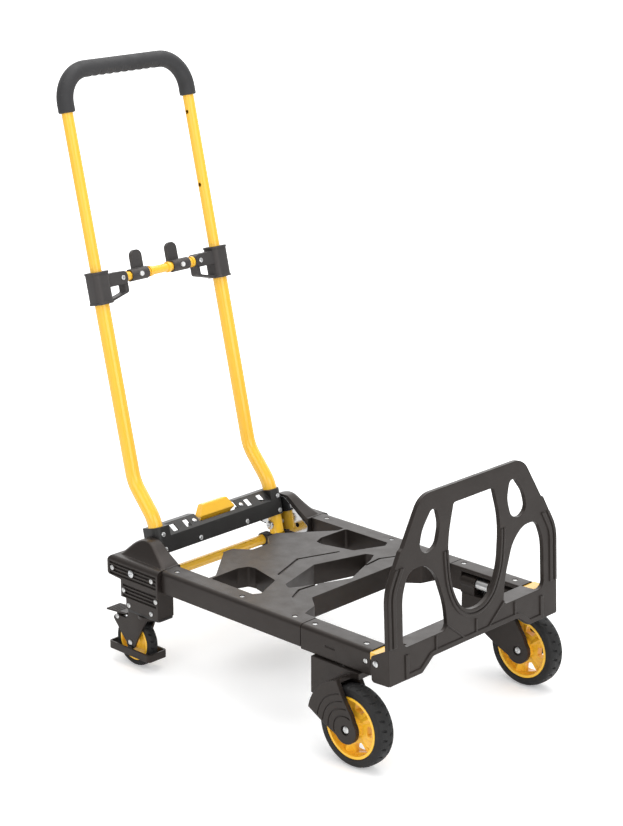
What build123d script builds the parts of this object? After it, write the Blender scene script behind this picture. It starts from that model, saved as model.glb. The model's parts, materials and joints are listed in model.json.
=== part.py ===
from build123d import *
import os
from math import atan2, cos, degrees, radians, sin

# Folding hand truck that also works as a platform cart, upright handle, floor at z = 0.
# +X is forward, to the toe plate. +Y is left, -Y is right. Millimetres and degrees.

# Clearances
FIT = 0.08          # shaft in its bore, on the radius
GAP = 0.4           # between faces that move past each other
SLACK = 0.25        # between a fastener and its hole, on the radius

# Deck and side rails, places along the deck counted from its first pair of screws
DECK_X0 = -95.82
DECK_TOP = 212.0
DECK_DEPTH = 40.0
DECK_SKIN = 4.0
DECK_WALL = 3.0
DECK_REAR = -22.0
DECK_FRONT = 335.0
RAIL_Y = 200.0
RAIL_W = 40.0
RAIL_H = 42.0
RAIL_EDGE = 8.0
TUBE_W = 33.0
TUBE_H = 34.0
TUBE_WALL = 2.0
TUBE_GRIP = 20.0    # length of rail tube inside each bracket
SEAM = 1.2          # open joint between the deck and each bracket
DECK_SCREWS = (0.0, 171.0, 303.1)
BRACKET_TOP_SCREWS = (351.6, 473.1)
SCREW_HEAD = 4.6
SCREW_RISE = 2.2
SCREW_SHANK = 2.4
SCREW_DEPTH = 12.0
SCREW_SINK = 0.2    # sunk heads below the face, so that a load lies flat
GROOVE_W = 5.0
GROOVE_DEPTH = 2.5
RIB_T = 2.5
RIB_DEPTH = 26.0
RIB_X = (40.0, 130.0)
RIB_Y = (-50.0, 0.0, 50.0)
WEB_REAR = 64.0
WEB_FRONT = 308.0
TONGUE_REAR = -12.0
WEB_HALF = ((18.0, 24.0, 5.0), (TONGUE_REAR, 47.0, 5.0), (TONGUE_REAR, 71.0, 4.0), (-5.0, 78.0, 4.0),
            (WEB_REAR, 163.0, 5.0))
WEB_NOSE = ((296.0, 143.0, 9.0), (266.0, 119.0, 7.0))
SIDE_HOLE = ((68.0, 112.0, 9.0), (76.0, 91.0, 6.0), (92.0, 88.0, 6.0), (160.0, 105.0, 7.0),
             (186.0, 166.0, 5.0))
SIDE_HOLE_AT_RAIL = (70.0, 178.0)
KITE_HALF = ((157.0, 0.0, 8.0), (188.0, 107.0, 6.0), (203.0, 115.0, 5.0), (216.0, 92.0, 10.0),
             (253.0, 0.0, 8.0))
CHEVRON = ((142.0, 82.0), (112.0, 0.0))
SIDE_LINE = ((226.0, 64.0), (221.0, 108.0), (238.0, 142.0))

# Front brackets and the folding wheel forks
BRACKET_H = 46.0
BRACKET_FRONT = 500.0
BRACKET_TOP_T = 8.0
BRACKET_WALL = 8.0
SIDE_SLOT = (394.5, 417.5)
SIDE_SLOT_DROP = 23.0
SIDE_SLOT_H = 3.2
SIDE_SLOT_DEPTH = 1.5
CAVITY_REAR = 362.0
CAVITY_FRONT = 486.0
FORK_Y = 191.0
FORK_DROP = 27.0
FORK_PIN_R = 6.0
KNUCKLE_R = 14.0
SLEEVE_R = 11.0
SLEEVE_REAR = 395.0
SLEEVE_LEN = 30.0
BLOCK_REAR = 366.0
BLOCK_FRONT = 478.0
BLOCK_INNER = 178.0
BLOCK_OUTER = 225.0
BLOCK_GAP = 2.0
HOOD_T = 8.0
HOOD_GAP = 7.0
ARM_T = 9.0
ARM_GAP = 3.0
AXLE_BOSS = 25.0
ARC_GROOVES = (27.0, 40.0, 53.0, 66.0)
ARC_W = 2.5
ARC_DEPTH = 1.5
ARC_MARGIN = 4.0

# Front wheels
FRONT_AXLE = 480.4
WHEEL_R = 73.0
WHEEL_Y = 231.6
WHEEL_W = 36.0
RIM_R = 56.0
RIM_W = 34.0
RIM_WALL = 5.0
WEB_T = 7.0
BOSS_R = 17.0
AXLE_R = 5.0
SPOKES = 5
SPOKE_W = 14.0
SPOKE_CREST = 11.0
WINDOW_IN = 31.0
WINDOW_OUT = 49.0
WINDOW_ANGLE = 31.0
AXLE_HEAD_R = 6.5
AXLE_RECESS = 2.5    # room round a head in its recess, on the radius
AXLE_HEAD_H = 4.0
TREAD_DEPTH = 3.5
TREAD_CUT = 4.0
WHEEL_LUGS = 38

# Toe plate, drawn upright in its own plane and leaned back
TOE_HINGE = 518.0
TOE_DROP = 17.0
TOE_FACE = 549.0
TOE_T = 8.0
TOE_LEAN = 2.8
TOE_HALF = 226.6
TOE_BOTTOM = -50.0
TOE_TOP = 263.0
TOE_SHOULDER = 115.0
TOE_SHOULDER_R = 80.0
TOE_MID_BOTTOM = -28.0
TOE_BAND_DEPTH = 30.0
BAND_CLEAR = 14.2   # band's end from the hinge block
TOE_BAND_TOP = 5.0
TOE_BAND_BAYS = 6
TOE_FOOT = ((115.0, TOE_MID_BOTTOM, 8.0), (145.0, TOE_BOTTOM, 6.0))
TOE_CROWN = ((36.1, 179.0, 2.5), (42.6, 182.5, 2.5), (91.6, TOE_TOP, 42.0))   # inset, height, round
TOE_BARREL = ((53.0, 230.0, 6.0), (71.5, 165.0, 180.0), (64.0, 80.0, 130.0), (32.0, 25.5, 54.0))
TOE_SLOT = ((97.0, 232.0, 10.0), (89.0, 200.0, 45.0), (99.0, 166.0, 20.0), (124.0, 157.0, 18.0),
            (144.0, 170.0, 16.0), (136.0, 202.0, 60.0), (112.0, 232.0, 12.0))
TOE_LARGE = ((75.0, 8.0, 12.0), (80.0, 55.0, 150.0), (103.0, 118.0, 60.0), (133.0, 141.0, 40.0),
             (172.0, 140.0, 26.0), (189.0, 100.0, 90.0), (190.0, 8.0, 14.0))
TOE_RIB = 2.0
TOE_RIB_W = 4.0
TOE_SIDE_RIMS = ((1.0, 6.0), (12.0, 8.0))
TOE_BARREL_RIMS = ((1.0, 4.5), (8.5, 4.5))
TOE_RIM_LOW = 15.0
TOE_RIM_TOP = 150.0
TOE_LIP = 10.0
TOE_PANEL = 186.0
TOE_PANEL_TOP = 5.0
TOE_FOOT_RIBS = (-106.5, 0.0, 106.5)
TOE_BRACE = ((75.5, 16.5), (32.5, -18.0))
EAR_T = 5.0
EAR_DEPTH = 40.0
HINGE_BOLT_R = 4.0
HINGE_HEAD_R = 5.8
HINGE_HEAD_H = 3.0
HINGE_BLOCK_R = 15.0
HINGE_BLOCK_W = 35.0
HINGE_ARM_L = 11.0
HINGE_ARM_H = 13.0

# Rear brackets, lock plates and the cross tube
PIVOT = -95.0
PIVOT_DROP = 22.0
PIVOT_R = 5.0
PIVOT_HEAD_R = 9.0
PIVOT_NUT_R = 7.0
PIVOT_HEAD_H = 6.0
REAR_END = -163.0
REAR_OUTER = 229.0
REAR_INNER = 171.0
LEG_BLOCK_INNER = 190.0
TIER_1 = 41.0
TIER_2 = 75.0
TIER_3 = 96.0
TIER_2_REAR = -126.0
TIER_3_REAR = -112.0
FIN_RISE = 34.0
HUMP_LEVELS = ((-2.0, -152.0, -26.0, 213.0), (9.0, -140.0, -43.0, 205.0), (20.0, -129.0, -60.0, 200.0),
               (28.0, -118.0, -71.0, 197.0), (FIN_RISE, -103.0, -83.0, 194.0))
HUMP_ROUND = 9.0
RIB_PITCH = 7.0
RIB_CUT = 4.6
RIB_CUT_DEPTH = 3.0
PLATE_T = 3.0
QUADRANT = ((-152.0, -36.0, 8.0), (-152.0, -6.0, 10.0), (-110.0, 31.0, 10.0), (-87.0, 31.0, 7.0),
            (-22.0, -15.0, 5.0), (-24.0, -26.0, 4.0), (-48.0, -36.0, 10.0))
CROSS_TUBE = -117.0
CROSS_DROP = 58.0
CROSS_R = 10.0
CROSS_WALL = 1.5
CROSS_SEAT = 18.0
BUMPER_W = 16.0
BUMPER_T = 3.5
SIDE_SCREWS = ((-149.0, 23.6), (-40.0, 22.4), (-118.0, 60.4), (-29.0, 60.4), (-104.0, 87.6), (-42.0, 87.6))

# Casters
SWIVEL = -68.0
SWIVEL_Y = 210.0
TRAIL = 36.0
CASTER_R = 49.0
CASTER_W = 22.0
CASTER_RIM_R = 37.0
CASTER_BOSS = 11.0
CASTER_WEB = 6.0
CASTER_LUGS = 28
CASTER_AXLE_R = 4.0
CASTER_HEAD_R = 5.2
CASTER_HEAD_H = 3.0
CASTER_PLATE_T = 4.0
KINGPIN_R = 7.0
CROWN_T = 6.0
LEG_T = 4.0
LEG_GAP = 2.5
GUARD_H = 15.0
GUARD_T = 4.0
GUARD_REACH = 4.0
GUARD_PAD = 7.0     # pads' tops below the axle
CROWN_R = 22.0
CROWN_REAR = -40.0
LEG_BEND = -17.0    # legs' front parts lean inward from here
LEG_FRONT = 16.0
LEG_FRONT_HALF = 12.0
LEG_BOSS = 13.0
LEG_REAR = -84.0
PEDAL_HINGE = (-72.0, 92.0)
PEDAL_REAR = (-104.0, 100.0)
PEDAL_FRONT = (-46.0, 105.0)
PEDAL_T = 3.5
PEDAL_HALF = 17.0
PEDAL_PIN_R = 3.0
PEDAL_RIBS = 5
PEDAL_RIB_PITCH = 7.0
BRAKE_GAP = 3.6     # brake pad from the tyre, pedal up

# Handle, drawn upright over its pivot and leaned back
LEAN = 13.2
TUBE_Y = 152.0
LOWER_R = 14.0
LOWER_WALL = 2.0
UPPER_R = 11.0
UPPER_WALL = 1.5
BEND_OFFSET = 38.5
BEND_START = 85.5
BEND_RISE = 72.4
BEND_R = 70.0
LEG_END = 18.0
COLLAR_LOW = 499.0
COLLAR_LEN = 61.0
COLLAR_W = 38.0
COLLAR_CAP = 5.0
UPPER_DROP = 9.0     # bow's ends below the collars, handle drawn out
BOW_TOP = 934.0
BOW_R = 60.0
GRIP_LEG = 16.0      # straight part of the grip below each bend
GRIP_R = 16.0
BUSH_LEN = 24.0
LOCK_STEP = 143.0   # between the lock holes of the telescope
LOCK_STEPS = 2
ARM_W = 25.0
ARM_END = 88.0
BAR_DROP = 20.0      # cross bar below the collars' top
BAR_R = 8.5
BAR_WALL = 2.0
BAR_SEAT = 20.0
RING_R = 10.5
TAB_IN = 32.0
TAB_OUT = 74.0
TAB_WALL = 3.0
PADDLE_W = 26.0
PADDLE_H = 34.0
PADDLE_T = 8.0
PIN_R = 4.0
TAB_LOCK = 8.0      # travel of a tab from free to locked
TAB_PULL = 5.0      # travel of a tab past free, toward the middle

# Beam between the legs with the fold lock
BEAM_LOW = 19.0
BEAM_TOP = 71.0
BEAM_FRONT = 19.0
BEAM_BACK = -20.0
BEAM_GAP = 0.6      # beam's ends from the lock plates
BEAM_T = 2.5
SLOPE_LOW = 50.0    # sloped top front of the beam between the legs
SLOPE_BACK = -2.0
SLOPE_HALF = 134.0
LOCK_U = 45.0
LOCK_R = 4.5
LOCK_TRAVEL = 6.5
LOCK_IN = 47.5
GUIDE_T = 4.0
GUIDE_AT = (60.0, 120.0)
GUIDE_HALF = 10.0
RIVET_U = (27.0, 56.0)
GUIDE_RIVET = 62.0
LUG_GAP = 1.5
LUG_T = 3.0
LUG_BACK = 8.0
SLOT_AT = (81.0, 115.0)
SLOT_HALF = 6.0
SLOT_LOW = 54.0
SLOT_TOP = 66.0
LEVER_HALF = 40.0
LEVER_U = 40.0
LEVER_X = -4.0
LEVER_FOOT = 60.0
LEVER_TOP = 85.0
LEVER_WIDE = 46.0
LEVER_NARROW = 31.0
LEVER_LIP = 13.0
LEVER_ROOM = 5.0    # paddle from the sides of its opening
LEVER_CUT = 56.0
LEVER_HUB = 7.0
LEVER_STUB = 3.0
RECLINE = 76.8      # handle back, in line with the deck
FOLD = 99.0         # handle forward, over the deck

# Places worked out from the values above
RAIL_IN = RAIL_Y - RAIL_W / 2
RAIL_OUT = RAIL_Y + RAIL_W / 2
PIVOT_X = DECK_X0 + PIVOT
PIVOT_Z = DECK_TOP - PIVOT_DROP
AXLE_X = DECK_X0 + FRONT_AXLE
AXLE_Z = WHEEL_R
FORK_Z = DECK_TOP - FORK_DROP
HINGE_X = DECK_X0 + TOE_HINGE
HINGE_Z = DECK_TOP - TOE_DROP
CROSS_X = DECK_X0 + CROSS_TUBE
CROSS_Z = DECK_TOP - CROSS_DROP
SWIVEL_X = DECK_X0 + SWIVEL
CASTER_X = SWIVEL_X - TRAIL
CASTER_Z = CASTER_R
PLATE_Y = REAR_INNER - PLATE_T
BEAM_HALF = PLATE_Y - BEAM_GAP
BEAM_ROUND = BEAM_HALF - TUBE_Y
EAR_IN = TOE_HALF - EAR_T
TOE_BAND_HALF = EAR_IN - GAP - HINGE_BLOCK_W - BAND_CLEAR
HANDLE = Pos(PIVOT_X, 0, PIVOT_Z) * Rot(0, -LEAN, 0)
LOCK_TIP = PLATE_Y - GAP
COLLAR_TOP = COLLAR_LOW + COLLAR_LEN
BAR_U = COLLAR_TOP - BAR_DROP
UPPER_END = COLLAR_LOW - UPPER_DROP
GRIP_LOW = BOW_TOP - BOW_R - GRIP_LEG
PIN_TIP = TUBE_Y - UPPER_R - GAP


def rounded(corners):
    """Face of a closed outline whose corners are (x, y, radius)."""
    line = FilletPolyline(*[(x, y) for x, y, r in corners], radius=[r for x, y, r in corners], close=True)
    return make_face(line)


def both_halves(half):
    """Closed outline from its half at y > 0, with the corners (x, y, radius) in order."""
    return half + [(x, -y, r) for x, y, r in reversed(half) if y > 0]


def prism_x(face, x0, x1):
    """Solid along X of a face drawn in (y, z)."""
    return extrude(Pos(x0, 0, 0) * (Plane.YZ * face), amount=x1 - x0, dir=(1, 0, 0))


def prism_y(face, y0, y1):
    """Solid along Y of a face drawn in (x, z)."""
    return extrude(Pos(0, y0, 0) * (Plane.XZ * face), amount=y1 - y0, dir=(0, 1, 0))


def prism_z(face, z0, z1):
    """Solid along Z of a face drawn in (x, y)."""
    return extrude(Pos(0, 0, z0) * face, amount=z1 - z0, dir=(0, 0, 1))


def block(x0, x1, y0, y1, z0, z1):
    """Box between two corners."""
    return Pos((x0 + x1) / 2, (y0 + y1) / 2, (z0 + z1) / 2) * Box(x1 - x0, y1 - y0, z1 - z0)


def rod_x(y, z, r, x0, x1):
    """Round bar along X."""
    return Pos((x0 + x1) / 2, y, z) * Rot(0, 90, 0) * Cylinder(r, x1 - x0)


def rod_y(x, z, r, y0, y1):
    """Round bar along Y."""
    return Pos(x, (y0 + y1) / 2, z) * Rot(90, 0, 0) * Cylinder(r, y1 - y0)


def rod_z(x, y, r, z0, z1):
    """Round bar along Z."""
    return Pos(x, y, (z0 + z1) / 2) * Cylinder(r, z1 - z0)


def other_side(part):
    """The right-hand piece from the left-hand one."""
    return mirror(part, about=Plane.XZ)


def screw_down(x, y, z):
    """Pan-head screw driven down, its head sunk just below a face at height z."""
    top = z - SCREW_SINK
    head = rod_z(x, y, SCREW_HEAD, top - SCREW_RISE, top)
    head = chamfer(head.edges().group_by(Axis.Z)[-1], SCREW_RISE / 2)
    return head + rod_z(x, y, SCREW_SHANK, z - SCREW_DEPTH, top - SCREW_RISE)


def sunk_hole(x, y, z):
    """Hole and recess for a sunk screw."""
    hole = rod_z(x, y, SCREW_SHANK + SLACK, z - SCREW_DEPTH - 1, z)
    return hole + rod_z(x, y, SCREW_HEAD + SLACK, z - SCREW_SINK - SCREW_RISE, z)


def screw_in(x, y, z):
    """Pan-head screw driven toward the middle plane into a face at y."""
    head = rod_y(x, z, SCREW_HEAD, y, y + SCREW_RISE)
    head = chamfer(head.edges().group_by(Axis.Y)[-1], SCREW_RISE / 2)
    return head + rod_y(x, z, SCREW_SHANK, y - SCREW_DEPTH, y)


# Deck

def web_face():
    """Plan of the deck's X-shaped web, from the first pair of screws."""
    edge = RAIL_IN + 1
    half = list(WEB_HALF) + [(WEB_REAR, edge, 0), (WEB_FRONT, edge, 0)] + list(WEB_NOSE)
    return rounded(both_halves(half))


def side_opening():
    """Opening between web and left rail."""
    rear, front = SIDE_HOLE_AT_RAIL
    return rounded([(rear, RAIL_IN, 5)] + list(SIDE_HOLE) + [(front, RAIL_IN, 4)])


def middle_opening():
    """Kite-shaped opening in the middle of the web."""
    return rounded(both_halves(list(KITE_HALF)))


def stripe(points, width):
    """Line of a width along X through the points."""
    return Polygon(*points, *[(x + width, y) for x, y in reversed(points)])


def groove_face():
    """Plan of the grooves in the deck's top: a chevron behind the kite and a bent line on each side."""
    arm, tip = CHEVRON
    side = stripe(SIDE_LINE, GROOVE_W)
    return stripe((arm, tip, (arm[0], -arm[1])), GROOVE_W) + side + mirror(side, about=Plane.XZ)


def rib_face():
    """Plan of the stiffening ribs under the web."""
    ribs = Sketch()
    for x in RIB_X:
        ribs += Pos(x, 0) * Rectangle(RIB_T, 2 * RAIL_IN)
    for y in RIB_Y:
        ribs += Pos((TONGUE_REAR + WEB_FRONT) / 2, y) * Rectangle(WEB_FRONT - TONGUE_REAR, RIB_T)
    return ribs


def deck_panel():
    """Moulded deck: web with its openings, ribs below, and an open channel over each rail tube."""
    openings = side_opening() + mirror(side_opening(), about=Plane.XZ) + middle_opening()
    plan = web_face() - openings
    grown = Sketch()
    for hole in (side_opening(), mirror(side_opening(), about=Plane.XZ), middle_opening()):
        grown += offset(hole, DECK_WALL, kind=Kind.INTERSECTION)
    inside = offset(web_face(), -DECK_WALL, kind=Kind.INTERSECTION) - grown
    low = DECK_TOP - DECK_DEPTH
    web = prism_z(plan, low, DECK_TOP) - prism_z(inside, low, DECK_TOP - DECK_SKIN)
    web += prism_z(rib_face() & inside, DECK_TOP - RIB_DEPTH, DECK_TOP - DECK_SKIN)
    web -= prism_z(groove_face(), DECK_TOP - GROOVE_DEPTH, DECK_TOP)
    rail = prism_x(rounded([
        (RAIL_IN, DECK_TOP - RAIL_H, 0), (RAIL_OUT, DECK_TOP - RAIL_H, 0),
        (RAIL_OUT, DECK_TOP, RAIL_EDGE), (RAIL_IN, DECK_TOP, 0)]), DECK_REAR, DECK_FRONT)
    half_w = TUBE_W / 2
    rail_cut = block(DECK_REAR, DECK_FRONT, RAIL_Y - half_w, RAIL_Y + half_w,
                     DECK_TOP - RAIL_H, DECK_TOP - DECK_SKIN)
    panel = web + rail + other_side(rail)
    panel -= prism_z(openings, low, DECK_TOP)
    panel -= rail_cut + other_side(rail_cut)
    for x in DECK_SCREWS:
        hole = sunk_hole(x, RAIL_Y, DECK_TOP)
        panel -= hole + other_side(hole)
    return Pos(DECK_X0, 0, 0) * panel


def side_rail():
    """Steel box tube inside the left rail cover, plugged into both brackets."""
    top = DECK_TOP - DECK_SKIN
    x0, x1 = DECK_REAR - TUBE_GRIP, DECK_FRONT + TUBE_GRIP
    half = TUBE_W / 2
    tube = block(x0, x1, RAIL_Y - half, RAIL_Y + half, top - TUBE_H, top)
    tube -= block(x0, x1, RAIL_Y - half + TUBE_WALL, RAIL_Y + half - TUBE_WALL,
                  top - TUBE_H + TUBE_WALL, top - TUBE_WALL)
    for x in DECK_SCREWS + BRACKET_TOP_SCREWS[:1]:
        tube -= rod_z(x, RAIL_Y, SCREW_SHANK + SLACK, top - TUBE_WALL, top)
    return Pos(DECK_X0, 0, 0) * tube


def deck_screws():
    """All the screws that show from above on deck and front brackets."""
    screws = [screw_down(DECK_X0 + x, side * RAIL_Y, DECK_TOP)
              for x in DECK_SCREWS + BRACKET_TOP_SCREWS for side in (1, -1)]
    return Compound(children=screws)


# Front brackets, fork pins and toe hinge

def front_bracket():
    """Left front bracket: open inward and downward round the fork's knuckles."""
    low = DECK_TOP - BRACKET_H
    body = prism_x(rounded([(RAIL_IN, low, 0), (RAIL_OUT, low, 2), (RAIL_OUT, DECK_TOP, RAIL_EDGE),
                            (RAIL_IN, DECK_TOP, 2)]), DECK_FRONT + SEAM, BRACKET_FRONT)
    top = DECK_TOP - DECK_SKIN
    half = TUBE_W / 2
    body -= block(DECK_FRONT, DECK_FRONT + TUBE_GRIP, RAIL_Y - half, RAIL_Y + half, top - TUBE_H, top)
    body -= block(CAVITY_REAR, CAVITY_FRONT, RAIL_IN, RAIL_OUT - BRACKET_WALL, low, DECK_TOP - BRACKET_TOP_T)
    body -= rod_x(FORK_Y, FORK_Z, FORK_PIN_R, DECK_FRONT, BRACKET_FRONT)
    for x in BRACKET_TOP_SCREWS:
        body -= sunk_hole(x, RAIL_Y, DECK_TOP)
    slot_mid = DECK_TOP - SIDE_SLOT_DROP
    body -= block(*SIDE_SLOT, RAIL_OUT - SIDE_SLOT_DEPTH, RAIL_OUT, slot_mid - SIDE_SLOT_H / 2,
                  slot_mid + SIDE_SLOT_H / 2)
    body -= rod_y(BRACKET_FRONT - 11, DECK_TOP - TOE_DROP - 5, SCREW_SHANK + SLACK,
                  RAIL_OUT - SCREW_DEPTH - 1, RAIL_OUT)
    return Pos(DECK_X0, 0, 0) * body


def fork_pivot_pin():
    """Pin and bright spacer sleeve on which the left fork folds."""
    pin = rod_x(FORK_Y, FORK_Z, FORK_PIN_R, DECK_FRONT + TUBE_GRIP, BRACKET_FRONT)
    sleeve = rod_x(FORK_Y, FORK_Z, SLEEVE_R, SLEEVE_REAR, SLEEVE_REAR + SLEEVE_LEN)
    return Pos(DECK_X0, 0, 0) * (pin + sleeve)


def toe_hinge_block():
    """Yellow hinge piece, with an arm onto the front end of the left front bracket."""
    r = HINGE_BLOCK_R
    step = BRACKET_FRONT + HINGE_ARM_L
    arm_low = HINGE_Z + r - HINGE_ARM_H
    nose = TOE_HINGE + r
    face = rounded([(step, HINGE_Z - r, 2), (nose, HINGE_Z - r, r * 0.9), (nose, HINGE_Z + r, r * 0.9),
                    (BRACKET_FRONT, HINGE_Z + r, 0), (BRACKET_FRONT, arm_low, 0), (step, arm_low, 2)])
    y1 = EAR_IN - GAP
    body = prism_y(face, y1 - HINGE_BLOCK_W, y1)
    body -= rod_y(TOE_HINGE, HINGE_Z, HINGE_BOLT_R + FIT, y1 - HINGE_BLOCK_W, y1)
    return Pos(DECK_X0, 0, 0) * body


# Rear brackets

def hump():
    """Saddle over the lock plate: a loft through its levels, flat on its inner side."""
    levels = Sketch()
    for rise, rear, front, outer in HUMP_LEVELS:
        corner = min(HUMP_ROUND, (outer - REAR_INNER) / 3)
        face = rounded([(rear, REAR_INNER - 1, 0), (front, REAR_INNER - 1, 0), (front, outer, corner),
                        (rear, outer, corner)])
        levels += Pos(0, 0, DECK_TOP + rise) * face
    body = loft(levels.faces())
    return body - block(REAR_END - 20, DECK_REAR, 0, REAR_INNER, DECK_TOP - 20, DECK_TOP + 2 * FIN_RISE)


def lock_holes(radius, y0, y1):
    """Bores for the lock bolt with the handle upright, back and forward."""
    bores = Part()
    for turn in (-LEAN, -LEAN - RECLINE, -LEAN + FOLD):
        x = PIVOT + LOCK_U * sin(radians(turn))
        z = PIVOT_Z + LOCK_U * cos(radians(turn))
        bores += rod_y(x, z, radius, y0, y1)
    return bores


def side_grooves():
    """Cuts that leave the horizontal ribs on the bracket's outer face."""
    cuts = Part()
    y0 = REAR_OUTER - RIB_CUT_DEPTH
    for first, count, rear in ((11.0, 4, REAR_END + 6), (TIER_1 + 6.5, 4, TIER_2_REAR + 6)):
        for i in range(count):
            z = DECK_TOP - first - i * RIB_PITCH
            cuts += block(rear, DECK_REAR - 6, y0, REAR_OUTER, z - RIB_CUT, z)
    return cuts


def rear_bracket():
    """Left rear bracket: three steps down to the caster, hump above, ribs on the outer face."""
    top = DECK_TOP
    front = DECK_REAR - SEAM
    upper = prism_x(rounded([(REAR_INNER, top - TIER_1, 0), (REAR_OUTER, top - TIER_1, 0),
                             (REAR_OUTER, top, 11), (REAR_INNER, top, 2)]), REAR_END, front)
    side = rounded([(REAR_END, top - TIER_1 + 3, 6), (REAR_END, top, 12), (front, top, 0),
                    (front, top - TIER_1, 0), (TIER_2_REAR, top - TIER_1, 0)])
    upper &= prism_y(side, REAR_INNER, REAR_OUTER)
    middle = block(TIER_2_REAR, front, LEG_BLOCK_INNER, REAR_OUTER, top - TIER_2, top - TIER_1)
    foot = block(TIER_3_REAR, front, LEG_BLOCK_INNER, REAR_OUTER, top - TIER_3, top - TIER_2)
    body = upper + middle + foot + hump()
    body -= side_grooves()
    half = TUBE_W / 2
    tube_top = DECK_TOP - DECK_SKIN
    body -= block(DECK_REAR - TUBE_GRIP, DECK_REAR, RAIL_Y - half, RAIL_Y + half, tube_top - TUBE_H, tube_top)
    body -= rod_y(PIVOT, PIVOT_Z, PIVOT_R + FIT, REAR_INNER, REAR_OUTER)
    body -= lock_holes(LOCK_R + SLACK, REAR_INNER, REAR_INNER + LOCK_TRAVEL)
    body -= rod_y(CROSS_TUBE, CROSS_Z, CROSS_R, LEG_BLOCK_INNER, LEG_BLOCK_INNER + CROSS_SEAT)
    for x, drop in SIDE_SCREWS:
        body -= rod_y(x, top - drop, SCREW_SHANK + SLACK, REAR_OUTER - SCREW_DEPTH - 1, REAR_OUTER)
        body += boss_round(x, top - drop)
    return Pos(DECK_X0, 0, 0) * body


def boss_round(x, z):
    """Flat round seat for a side screw, level with the ribs."""
    seat = rod_y(x, z, SCREW_HEAD + 1.2, REAR_OUTER - RIB_CUT_DEPTH, REAR_OUTER)
    return seat - rod_y(x, z, SCREW_SHANK + SLACK, REAR_OUTER - RIB_CUT_DEPTH, REAR_OUTER)


def lock_quadrant():
    """Zinc plate on the inner face of the left rear bracket, with the pivot and lock holes."""
    face = rounded([(x, DECK_TOP + z, r) for x, z, r in QUADRANT])
    plate = prism_y(face, PLATE_Y, REAR_INNER)
    plate -= rod_y(PIVOT, PIVOT_Z, PIVOT_R + FIT, PLATE_Y, REAR_INNER)
    plate -= lock_holes(LOCK_R + SLACK, PLATE_Y, REAR_INNER)
    return Pos(DECK_X0, 0, 0) * plate


def rear_cross_tube():
    """Yellow tube between the rear brackets."""
    end = LEG_BLOCK_INNER + CROSS_SEAT
    bore = rod_y(CROSS_X, CROSS_Z, CROSS_R - CROSS_WALL, -end, end)
    return rod_y(CROSS_X, CROSS_Z, CROSS_R, -end, end) - bore


def stop_bumpers():
    """Rubber rings with a flat pad on the cross tube, below the handle's legs."""
    r = CROSS_R + BUMPER_T
    ring = rod_y(CROSS_X, CROSS_Z, r, TUBE_Y - BUMPER_W, TUBE_Y)
    ring += block(CROSS_X, CROSS_X + r, TUBE_Y - BUMPER_W, TUBE_Y, CROSS_Z, CROSS_Z + r)
    ring -= rod_y(CROSS_X, CROSS_Z, CROSS_R, TUBE_Y - BUMPER_W, TUBE_Y)
    return Compound(children=[ring, other_side(ring)])


def bracket_screws():
    """Screws in the sides of the brackets."""
    left = [screw_in(DECK_X0 + x, REAR_OUTER, DECK_TOP - drop) for x, drop in SIDE_SCREWS]
    left.append(screw_in(DECK_X0 + BRACKET_FRONT - 11, RAIL_OUT, DECK_TOP - TOE_DROP - 5))
    return Compound(children=left + [other_side(s) for s in left])


# Front wheels and forks

def arm_face(radius):
    """Side view of a fork arm about the axle: fan behind the wheel and round boss on the axle."""
    fan = Polygon((-95, 22), (-52, -1), (-24, -13), (0, -AXLE_BOSS), (AXLE_BOSS, 0), (13, 30), (-8, 60),
                  (-26, 95), (-95, 95))
    return (fan & Circle(radius)) + Circle(AXLE_BOSS)


def wheel_fork():
    """Left fork: knuckles on the pivot pin, block below the bracket, hood over the tyre and two arms."""
    hood_in = WHEEL_R + HOOD_GAP
    hood_out = hood_in + HOOD_T
    arm_in = WHEEL_Y - WHEEL_W / 2 - ARM_GAP
    arm_out = WHEEL_Y + WHEEL_W / 2 + ARM_GAP
    block_top = DECK_TOP - BRACKET_H - BLOCK_GAP
    axle = Pos(FRONT_AXLE, AXLE_Z)
    hood_face = (Circle(hood_out) - Circle(hood_in)) & Polygon((0, 0), (-26, 95), (-95, 95), (-95, 22))
    side = Polygon((BLOCK_REAR, block_top), (BLOCK_REAR, AXLE_Z + 23), (FRONT_AXLE, AXLE_Z),
                   (BLOCK_FRONT, AXLE_Z), (BLOCK_FRONT, block_top))
    fork = prism_y(side - axle * Circle(hood_in), BLOCK_INNER, BLOCK_OUTER)
    fork += prism_y(axle * hood_face, arm_in - ARM_T, arm_out + ARM_T)
    fork += prism_y(axle * arm_face(hood_out), arm_in - ARM_T, arm_in)
    fork += prism_y(axle * arm_face(hood_out), arm_out, arm_out + ARM_T)
    outside = arm_out + ARM_T
    inner_field = offset(arm_face(hood_out), -ARC_MARGIN)
    for r in ARC_GROOVES:
        ring = (Circle(r) - Circle(r - ARC_W)) & inner_field
        fork -= prism_y(axle * ring, outside - ARC_DEPTH, outside)
    for y in (arm_in - ARM_T, outside - AXLE_HEAD_H):
        fork -= rod_y(FRONT_AXLE, AXLE_Z, AXLE_HEAD_R + AXLE_RECESS, y, y + AXLE_HEAD_H)
    web = KNUCKLE_R - 2
    sleeve_front = SLEEVE_REAR + SLEEVE_LEN
    for x0, x1 in ((CAVITY_REAR + GAP, SLEEVE_REAR - GAP), (sleeve_front + GAP, CAVITY_FRONT - GAP)):
        fork += rod_x(FORK_Y, FORK_Z, KNUCKLE_R, x0, x1)
        fork += block(x0, min(x1, BLOCK_FRONT), FORK_Y - web, FORK_Y + web, block_top, FORK_Z)
    fork -= rod_x(FORK_Y, FORK_Z, FORK_PIN_R + FIT, CAVITY_REAR, CAVITY_FRONT)
    fork -= rod_y(FRONT_AXLE, AXLE_Z, AXLE_R, arm_in - ARM_T, arm_out + ARM_T)
    return Pos(DECK_X0, 0, 0) * fork


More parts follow.
